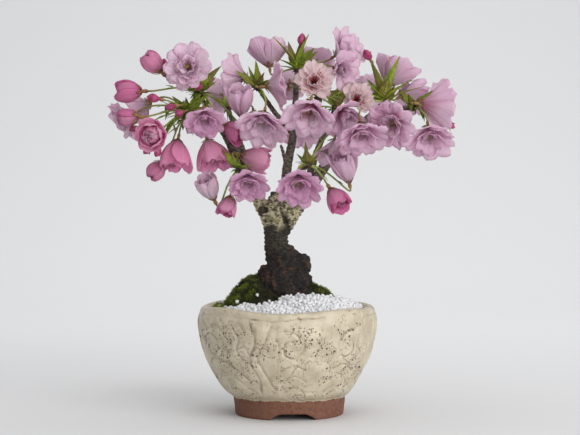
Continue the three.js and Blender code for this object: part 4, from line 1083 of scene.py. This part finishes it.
spray_finishes = [finish.material for finish in (stalk_green, leaf_green, scale_red, bud_pink)]
for spray, (hubs, leaves) in SPRAYS.items():
    heap = Heap()
    rng = random.Random(spray)
    bracts = BRACTS.get(spray, 2)
    hubs = [np.array(hub, float) for hub in hubs]
    for hub in hubs:
        for _ in range(HUB_SCALES):
            along = heading(rng.uniform(0, 360), rng.uniform(-35, 70))
            shape = (plain_edge, 0.25, 0.3, 6, 5)
            add_blade(heap, SCALE, hub - along * 0.6, along, rng.uniform(3.2, 4.4), 3.0, shape, 0.5, 1.0)
        swelling = [hub + UP * z for z in (-2.2, -1.6, 0, 1.6, 2.2)]
        heap.add(*tube(swelling, (0.7, 1.7, 2.3, 1.7, 0.7), 9), SCALE, (0, 0, 1.0))
        for k in range(TUFT_LEAVES.get(spray, 9)):
            along = heading(rng.uniform(0, 360), rng.uniform(-35, 65))
            longer = spray in TUFT_LEAVES and k % 3 == 0
            length = rng.uniform(6, 12) if longer else rng.uniform(3.5, 7)
            width = rng.uniform(0.36, 0.5) * length
            shape = (saw_edge, rng.uniform(0, 0.35), 0.3, 9, 5)
            tone = 0.9 * rng.random() ** 2
            add_blade(heap, LEAF, hub + along * 1.6, along, length, width, shape, 0.25, tone)
        for _ in range(YOUNG_LEAVES.get(spray, 3)):
            along = heading(rng.choice((-90, 90)) + rng.uniform(-35, 35), rng.uniform(20, 88))
            length = rng.uniform(9, 20)
            facing = np.array((rng.uniform(-0.6, 0.6), -1, rng.uniform(-0.2, 0.8)))
            width = rng.uniform(0.25, 0.36) * length
            shape = (saw_edge, rng.uniform(0, 0.2), 0.25, 14, 7)
            tone = rng.random()
            add_blade(heap, LEAF, hub + along * 1.2, along, length, width, shape, 0.28, tone, facing)
    for first, second in zip(hubs, hubs[1:]):
        neck = [first, (first + second) / 2, second]
        heap.add(*tube(neck, (1.3, 1.2, 1.3), 7), SCALE, (0, 0, 1.0))
    for n, (turn_round, lift, length, width) in enumerate(leaves):
        shape = (saw_edge, 0.16, 0.28, max(16, 2 * round(length)), 7)
        tone = 1 if spray in BRONZED else rng.uniform(0, 0.9)
        hub, along = hubs[n % len(hubs)], heading(turn_round, lift)
        add_blade(heap, LEAF, hub, along, length, LEAF_FULLNESS * width, shape, 0.3, tone)
    for name, of, hub, kind, base, turn_round, lift, size, *sway in BLOOMS:
        if of != spray:
            continue
        base, axis = np.array(base, float), heading(turn_round, lift)
        add_stalk(heap, hubs[hub], base, axis, *FLOWER_STALK, bracts, rng, *sway)
        spread, droop = CLOSED_CALYXES.get(kind, (50, 0.1))
        girth = 1.0 if kind in CLOSED_CALYXES else 0.8
        add_calyx(heap, base, axis, girth, math.radians(spread), droop, rng)
    for of, hub, base, turn_round, lift, length in SMALL_BUDS:
        if of != spray:
            continue
        base, axis = np.array(base, float), heading(turn_round, lift)
        add_stalk(heap, hubs[hub], base, axis, *BUD_STALK, bracts, rng)
        add_small_bud(heap, base, axis, length, rng)
    made = heap.piece("spray_of_" + spray, *spray_finishes)
    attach(made, "root")
    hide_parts("spray_" + spray)


# ---- Blooms --------------------------------------------------------------------------------------
# A double flower of fifteen to twenty thin petals in whorls, with stamens round a pistil. The petals
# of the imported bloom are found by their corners, each of them gets a fine notched and ruffled petal
# on the same curve, and further petals of the same flower stand between and inside them.
KINDS = {  # whorls of (count, share, claw, tip, width, cup, edge), as packed
    "open": [(5, 1, 52, 94, 1.15, 30, "notched"), (3, 0.66, 24, 52, 1.2, 40, "pointed")],
    "bell": [(5, 1, 34, 62, 1.25, 36, "notched"), (3, 0.74, 16, 36, 1.2, 50, "pointed")],
    "wide": [(5, 1, 40, 84, 1.25, 30, "notched"), (3, 0.7, 18, 46, 1.2, 50, "pointed")],
    "skirt": [(5, 1, 54, 4, 1.1, 30, "notched"), (3, 0.76, 30, 0, 1.1, 50, "pointed")],
    "rose": [(5, 1, 76, 4, 1.2, 50, "blunt"), (3, 0.84, 48, -24, 1.2, 50, "pointed")],
    "cup": [(5, 1, 48, -8, 0.65, 50, "blunt"), (3, 0.8, 26, -10, 0.5, 50, "pointed")],
    "half": [(4, 1, 54, -12, 0.8, 50, "blunt")],
    "bud": [(4, 1, 64, -44, 0.8, 50, "blunt")],
    "back": [(5, 1, 52, 26, 1.2, 36, "blunt"), (3, 0.66, 24, 10, 1.2, 50, "pointed")],
    "faded": [(5, 1, 60, 100, 0.7, 50, "notched"), (3, 0.7, 34, 66, 0.6, 60, "pointed")],
}
BENDS = (0, 14, -12, 28, 42, -24, 58)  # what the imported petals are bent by, in the order they were tried
LENGTHS = (1, 0.86, 0.72)
CLAW_RADIUS = 1.2
BELLY, WHORL_RISE = 0.56, 1.2
TIPS = {  # shares across, and shares along, of the corners of each edge's tip
    "notched": ((-0.76, 0, 0.76), (0.96, 0.9, 0.96)),
    "blunt": ((-0.6, 0.6), (0.96, 0.96)),
    "pointed": ((0,), (0.96,)),
}
FOUND_WITHIN = 0.75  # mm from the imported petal's corners
PETAL_ROWS, PETAL_COLUMNS = 9, 11
PETAL_THICKNESS = 0.22
FRONT_MOST = -62.1  # no petal stands further forward
ROLL = 0.06  # share of the radius that a rolled petal's edges lie in or out
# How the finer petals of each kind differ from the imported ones: how much wider they are, how deep
# they ruffle, the share of the gaps that hold another petal, degrees that the inner whorl lies
# lower, and whether they are rolled round the middle.
HABITS = {
    "open": (1.3, 0.07, 0.6, 0, False),
    "bell": (1.35, 0.035, 0.35, 16, False),
    "wide": (1.35, 0.05, 0.6, 8, False),
    "skirt": (1.5, 0.03, 0.6, 0, True),
    "rose": (1.4, 0.02, 0, 0, True),
    "cup": (1.45, 0.02, 1, 0, True),
    "half": (1.4, 0.015, 1, 0, True),
    "bud": (1.5, 0.006, 1, 0, True),
    "back": (1.5, 0.035, 1, 0, True),
    "faded": (1.1, 0.05, 1, 0, False),
}
INNER_WIDTH = 1.1  # of an inner whorl that isn't rolled, as `full` is of the others
BETWEEN_SHARE, BETWEEN_LEAN, BETWEEN_RISE = 0.9, 7, 0.6  # of a petal in a gap, beside its neighbours
HEART_WIDTH, HEART_RISE, HEART_LEAN = 1.3, 1.8, 9
AGED_SHOWN = 0.5  # how far up from the claw the colours of an aged heart's petals go
HEARTS = {  # rolled petals in the middle, from outside in: how many, and (share, claw, tip)
    "open": [(5, 0.74, 70, 18)],
    "wide": [(4, 0.66, 46, 20), (3, 0.4, 24, -4)],
    "bell": [(4, 0.6, 28, 6)],
    "skirt": [(4, 0.82, 34, -6)],
    "faded": [(4, 0.5, 44, 26)],
    "rose": [(5, 1.04, 84, -34), (5, 1.2, 77, -96), (4, 1.08, 76, -88)],
    "bud": [(4, 0.95, 60, -50)],
    "half": [(5, 0.88, 46, -16), (3, 0.74, 30, -12)],
    "cup": [(4, 0.82, 36, -12), (3, 0.62, 24, -20)],
    "back": [(4, 0.72, 38, 6)],
}
PETAL, THREAD, ANTHER = range(3)  # the finishes of a bloom


def draw(i, j):
    """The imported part's own repeatable draw from 0 to 1."""
    x = math.sin(i * 12.9898 + j * 78.233) * 43758.5453
    return x - math.floor(x)


def petal_points(flower, whorl, pose, s, t, rise, full=0.94, bow=0.0, rolled=False):
    """Points at shares of a petal's length and half width, and which way is into the flower there.
    A rolled petal goes round the flower's middle, one edge inside its neighbour's."""
    base, axis, across, upward, size = flower
    place, bend, scale = pose
    count, share, claw, tip = whorl[:4]
    length = size * share * scale
    claw = math.radians(claw)
    sweep = math.radians(tip - bend) - claw or 0.01
    angle = claw + sweep * s
    radius = CLAW_RADIUS + length * (math.cos(claw) - np.cos(angle)) / sweep
    height = length * (np.sin(angle) - math.sin(claw)) / sweep + rise
    turned = place + 0 * t
    if rolled:
        turned = place + t * np.minimum(full * math.pi / count, 0.55 * length / radius)
    out = np.cos(turned)[..., None] * across + np.sin(turned)[..., None] * upward
    inward = -np.cos(angle)[..., None] * out + np.sin(angle)[..., None] * axis
    if rolled:
        return base + (radius * (1 + ROLL * t))[..., None] * out + height[..., None] * axis, inward
    width, cup = whorl[4:6]
    curl, sector = math.tan(math.radians(cup) / 2), math.tan(math.pi / count)
    widest = full * radius * sector / (1 + sector * curl * np.cos(angle))
    side = t * np.minimum(0.5 * length * width * max(1, full), np.maximum(widest, 0.3))
    cupped = curl * np.abs(side) * ((1 - bow) + bow * np.abs(t))
    points = (
        base
        + radius[..., None] * out
        + height[..., None] * axis
        + side[..., None] * np.cross(axis, out)
        + cupped[..., None] * inward
    )
    return points, inward


def packed_petals(name, flower, kind, n):
    """Each petal's place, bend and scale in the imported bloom, by whorls; None where it has none."""
    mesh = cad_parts["bloom_" + name].data
    tree = kdtree.KDTree(len(mesh.vertices))
    for k, vertex in enumerate(mesh.vertices):
        tree.insert(vertex.co / MM, k)
    tree.balance()
    spin = 2 * math.pi * draw(n, 5)
    closed = 0
    found = []
    for w, whorl in enumerate(KINDS[kind]):
        count, (tip_t, tip_s) = whorl[0], TIPS[whorl[6]]
        s, t = np.array((BELLY, BELLY, *tip_s)), np.array((-1, 1, *tip_t))
        bends = [b + closed for b in BENDS if b >= 0] if w else BENDS
        petals = []
        for i in range(count):
            place = spin + w * math.pi / count + 2 * math.pi * i / count
            grown = 0.94 + 0.12 * draw(n, 20 + i + 7 * w)
            lean = 8 * (draw(n, 40 + i + 7 * w) - 0.5)
            best = (FOUND_WITHIN, None)
            for share, bend in ((share, bend) for share in LENGTHS for bend in bends):
                pose = (place, bend + lean, share * grown)
                spots, _ = petal_points(flower, whorl, pose, s, t, w * WHORL_RISE)
                worst = max(tree.find(Vector(spot))[2] for spot in spots)
                if worst < best[0]:
                    best = (worst, pose)
            petals.append(best[1])
        closed = max([closed, *(p[1] for p in petals if p)])
        found.append(petals)
    return found


def between(petals, count, short, lean):
    """A petal for each gap between neighbours: a little shorter than both, and closed a little more."""
    made = []
    for i, first in enumerate(petals):
        second = petals[(i + 1) % count]
        if first and second:
            bend, scale = max(first[1], second[1]) + lean, min(first[2], second[2]) * short
            made.append((first[0] + math.pi / count, bend, scale))
        elif first or second:
            near = first or second
            shift = 0.35 if first else -0.35
            made.append((near[0] + shift * 2 * math.pi / count, near[1] + lean, near[2] * short * 0.94))
    return made


def add_petal(heap, flower, kind, whorl, pose, rise, full, rng, flush, aged, rolled, shown=1.0):
    """One fine petal: obovate, notched, a little toothed, cupped and ruffled towards its edge."""
    length = flower[4] * whorl[1] * pose[2]
    s, t = np.meshgrid(np.linspace(0, 1, PETAL_ROWS), np.linspace(-1, 1, PETAL_COLUMNS), indexing="ij")
    teeth = np.array([rng.uniform(-0.06, 0.015) for _ in range(PETAL_COLUMNS)])
    phase, waves = rng.uniform(0, 6.3), rng.uniform(1.2, 2.2)
    notch = np.exp(-((t / 0.16) ** 2))
    if rolled:
        teeth *= 1 if kind in ("skirt", "back") else 0.35
        along = s * (1.0 - 0.15 * np.abs(t) ** 2.5 - 0.03 * notch + teeth[None, :])
        narrow = 1 - 0.34 * np.clip((s - 0.55) / 0.45, 0, 1) ** 2
    else:
        along = s * (1.0 - 0.17 * t**4 - 0.1 * notch + teeth[None, :])
        narrow = 1 - 0.3 * np.clip((s - 0.66) / 0.34, 0, 1) ** 2
    points, inward = petal_points(flower, whorl, pose, along, t * narrow, rise, full, 0.75, rolled)
    ruffle = HABITS[kind][1]
    wave = ruffle * length * np.sin(math.pi * waves * t + phase) * s**1.5
    wave += 0.5 * (ruffle * length) * np.sin(math.pi * 2.3 * waves * t + 2 * phase) * s**3
    crease = 0.016 * length * np.cos(math.pi * 3 * t + waves) * np.sin(math.pi * s)
    twist = 0.03 * length * t * s
    tip = (8 * ruffle - 0.05) * length * np.clip(s - 0.6, 0, 1) ** 2 * rng.uniform(-1.5, 1)
    points = points + (wave + crease + twist + tip)[..., None] * inward
    points[..., 1] = np.maximum(points[..., 1], FRONT_MOST)
    unlike = 0.6 if kind in ("bud", "half", "rose") else 0.3  # how far its petals differ in tone
    tone = min(0.99, flush + unlike * rng.random()) + aged
    add_skin(heap, points, PETAL_THICKNESS, PETAL, s * shown, t, tone)


def add_stamens(heap, flower, rng, count, leans, reaches, radii):
    """Threads with their anthers, and a thicker green pistil in the middle."""
    base, axis, across, upward, size = flower
    for _ in range(count):
        a, lean = rng.uniform(0, 2 * math.pi), math.radians(rng.uniform(*leans))
        out = math.cos(a) * across + math.sin(a) * upward
        way = out * math.sin(lean) + axis * math.cos(lean)
        reach = size * rng.uniform(*reaches)
        path = [base + out * 0.5 + axis * 0.5, base + way * reach * 0.55 + axis * 0.7, base + way * reach]
        heap.add(*tube(path, radii, 4), THREAD)
        tip = path[-1]
        heap.add(*tube([tip - way * 0.35, tip, tip + way * 0.35], (0.15, 0.5, 0.15), 5), ANTHER)
    path = [base, base + axis * 0.2 * size, base + axis * 0.42 * size]
    heap.add(*tube(path, (0.5, 0.3, 0.3), 6), ANTHER)


def petal_finish(name, heart, body, rim, glow):
    """Thin petal: `heart` near the claw, `body` over most of it and `rim` at its edge."""
    finish = Finish(name, Roughness=0.5)
    along, across, tone = finish.marks()
    aged = tone.stepped(0.999, 1.001)
    veins = (across * 34.0 + 3 * finish.cloudy(120, 2)).sine()
    edge = abs(across).stepped(0.72, 1.05) + along.stepped(0.84, 1.04)
    colour = finish.mixed(along.stepped(0.08, 0.42), heart, body)
    colour = finish.mixed(aged * (1 - along.stepped(0.2, 0.62)) * 0.95, colour, (178, 82, 72))
    colour = finish.mixed(edge.clamped() * (0.35 + 0.5 * finish.cloudy(90, 2)), colour, rim)
    colour = finish.mixed((tone - aged) * 0.95, colour, rim)
    colour = finish.mixed(veins.stepped(0.0, 1.0) * 0.25, colour, rim)
    finish.show("Base Color", colour)
    finish.raise_by(0.6 * veins + finish.cloudy(300, 2), 0.00022)
    through = finish.node("BsdfTranslucent", sockets={"Color": paint(*glow)})
    shader = Shade(finish.tree, finish.shader.outputs[0])
    skin_of_petal = finish.node("MixShader", sockets={0: 0.6, 1: shader, 2: through})
    surface = finish.tree.nodes["Material Output"].inputs["Surface"]
    finish.tree.links.new(skin_of_petal.socket, surface)
    return finish.material


PETAL_LOOKS = {  # by look: near the claw, over most of the petal, at its edge, and what shines through
    look: petal_finish("petal_" + look, *colours)
    for look, colours in {
        "pale": [(252, 249, 238), (254, 249, 251), (230, 182, 214), (253, 232, 245)],
        "deep": [(253, 238, 244), (253, 228, 240), (240, 172, 208), (254, 200, 228)],
        "bud": [(244, 180, 214), (250, 212, 234), (220, 106, 168), (249, 180, 219)],
        "worn": [(236, 160, 166), (255, 247, 249), (254, 232, 230), (255, 238, 240)],
    }.items()
}
THREADS = [  # of a fresh flower, the threads and the anthers
    two_toned("thread_white", 0.5, 400, (232, 222, 190), (226, 196, 200)),
    two_toned("anther_gold", 0.7, 500, (206, 182, 96), (178, 150, 70)),
]
WORN_THREADS = [
    two_toned("thread_red", 0.5, 400, (206, 66, 78), (176, 44, 58)),
    two_toned("anther_brown", 0.7, 500, (150, 78, 56), (112, 48, 42)),
]
STAMENS = (14, (4, 26), (0.3, 0.44), (0.2, 0.16, 0.13))  # how many, lean, reach and thickness
WORN_STAMENS = (22, (10, 62), (0.5, 0.72), (0.3, 0.26, 0.22))
FLUSH = {  # how far a flower is from its look's pale side, 0 to 1; those not named are at 0.2
    "left_crown": 0.1, "left_rose": -0.15, "left_hanging": 0.95, "left_inner": 0.45, "left_front": 1.0,
    "left_upper_bud": 0.4, "left_bottom_bud": 0.5, "low_left": 0.95, "low_left_bud": 0.1,
    "low_inner": 0.3, "low_right": 0.95, "low_right_bud": 0.1, "centre": 0.0, "centre_left": 0.1,
    "centre_right": 0.35, "far_right_low": 0.35, "far_right_side": 0.35, "right_front": 0.3,
    "right_rose": 0.3, "top_right": 0.05,
}
DEEP_LOOKS = (
    "left_rose", "left_hanging", "left_inner", "low_inner", "left_upper_bud", "left_bottom_bud",
)
DEEP_SLOTS = (
    "left_upper_bud", "left_side_bud", "left_low_bud", "left_bottom_bud", "left_rose",
    "left_opening", "low_left_bud", "low_right_bud", "left_hanging", "left_inner",
)
# Flowers whose hearts have turned red.
AGED = ("centre", "right_front", "centre_right", "right_rose", "far_right_side")

for n, (name, of, hub, kind, base, turn_round, lift, size, *sway) in enumerate(BLOOMS):
    heap = Heap()
    rng = random.Random(name)
    axis = heading(turn_round, lift)
    across = unit(np.cross(UP, axis))
    flower = (np.array(base, float), axis, across, np.cross(axis, across), size)
    full, _, extra, opened, rolled = HABITS[kind]
    flush, aged = FLUSH.get(name, 0.2), name in AGED
    for w, (whorl, petals) in enumerate(zip(KINDS[kind], packed_petals(name, flower, kind, n))):
        rise = w * WHORL_RISE
        wide = full if w == 0 or rolled else INNER_WIDTH
        lower = opened if w else 0
        for place, bend, scale in filter(None, petals):
            pose = (place, bend - lower, scale)
            add_petal(heap, flower, kind, whorl, pose, rise, wide, rng, flush, aged, rolled)
        for place, bend, scale in between(petals, whorl[0], BETWEEN_SHARE, BETWEEN_LEAN):
            if rng.random() < extra:
                pose, above = (place, bend - lower, scale), rise + BETWEEN_RISE
                add_petal(heap, flower, kind, whorl, pose, above, wide, rng, flush, aged, rolled)
    for some, *curve in HEARTS[kind]:
        start, heart = rng.uniform(0, 6.3), (max(4, some), *curve)
        for k in range(some):
            place = start + 2 * math.pi * (k + rng.random() * 0.3) / some
            pose = (place, rng.uniform(-HEART_LEAN, HEART_LEAN), rng.uniform(0.85, 1.0))
            shown = AGED_SHOWN if aged else 1.0
            rise, wide = HEART_RISE, HEART_WIDTH
            add_petal(heap, flower, kind, heart, pose, rise, wide, rng, flush, aged, True, shown)
    look, slot, threads, stamens = "pale", "petal_pale", THREADS, STAMENS
    if kind == "faded":
        look, slot, threads, stamens = "worn", "petal_faded", WORN_THREADS, WORN_STAMENS
    elif name in DEEP_LOOKS:
        look = "deep"
    elif kind in ("half", "bud"):
        look = "bud"
    if name in DEEP_SLOTS:
        slot = "petal_deep"
    if kind not in CLOSED_CALYXES:
        add_stamens(heap, flower, rng, *stamens)
    bloom = heap.piece("flower_" + name, PETAL_LOOKS[look], *threads)
    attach(bloom, "root")
    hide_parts("bloom_" + name)
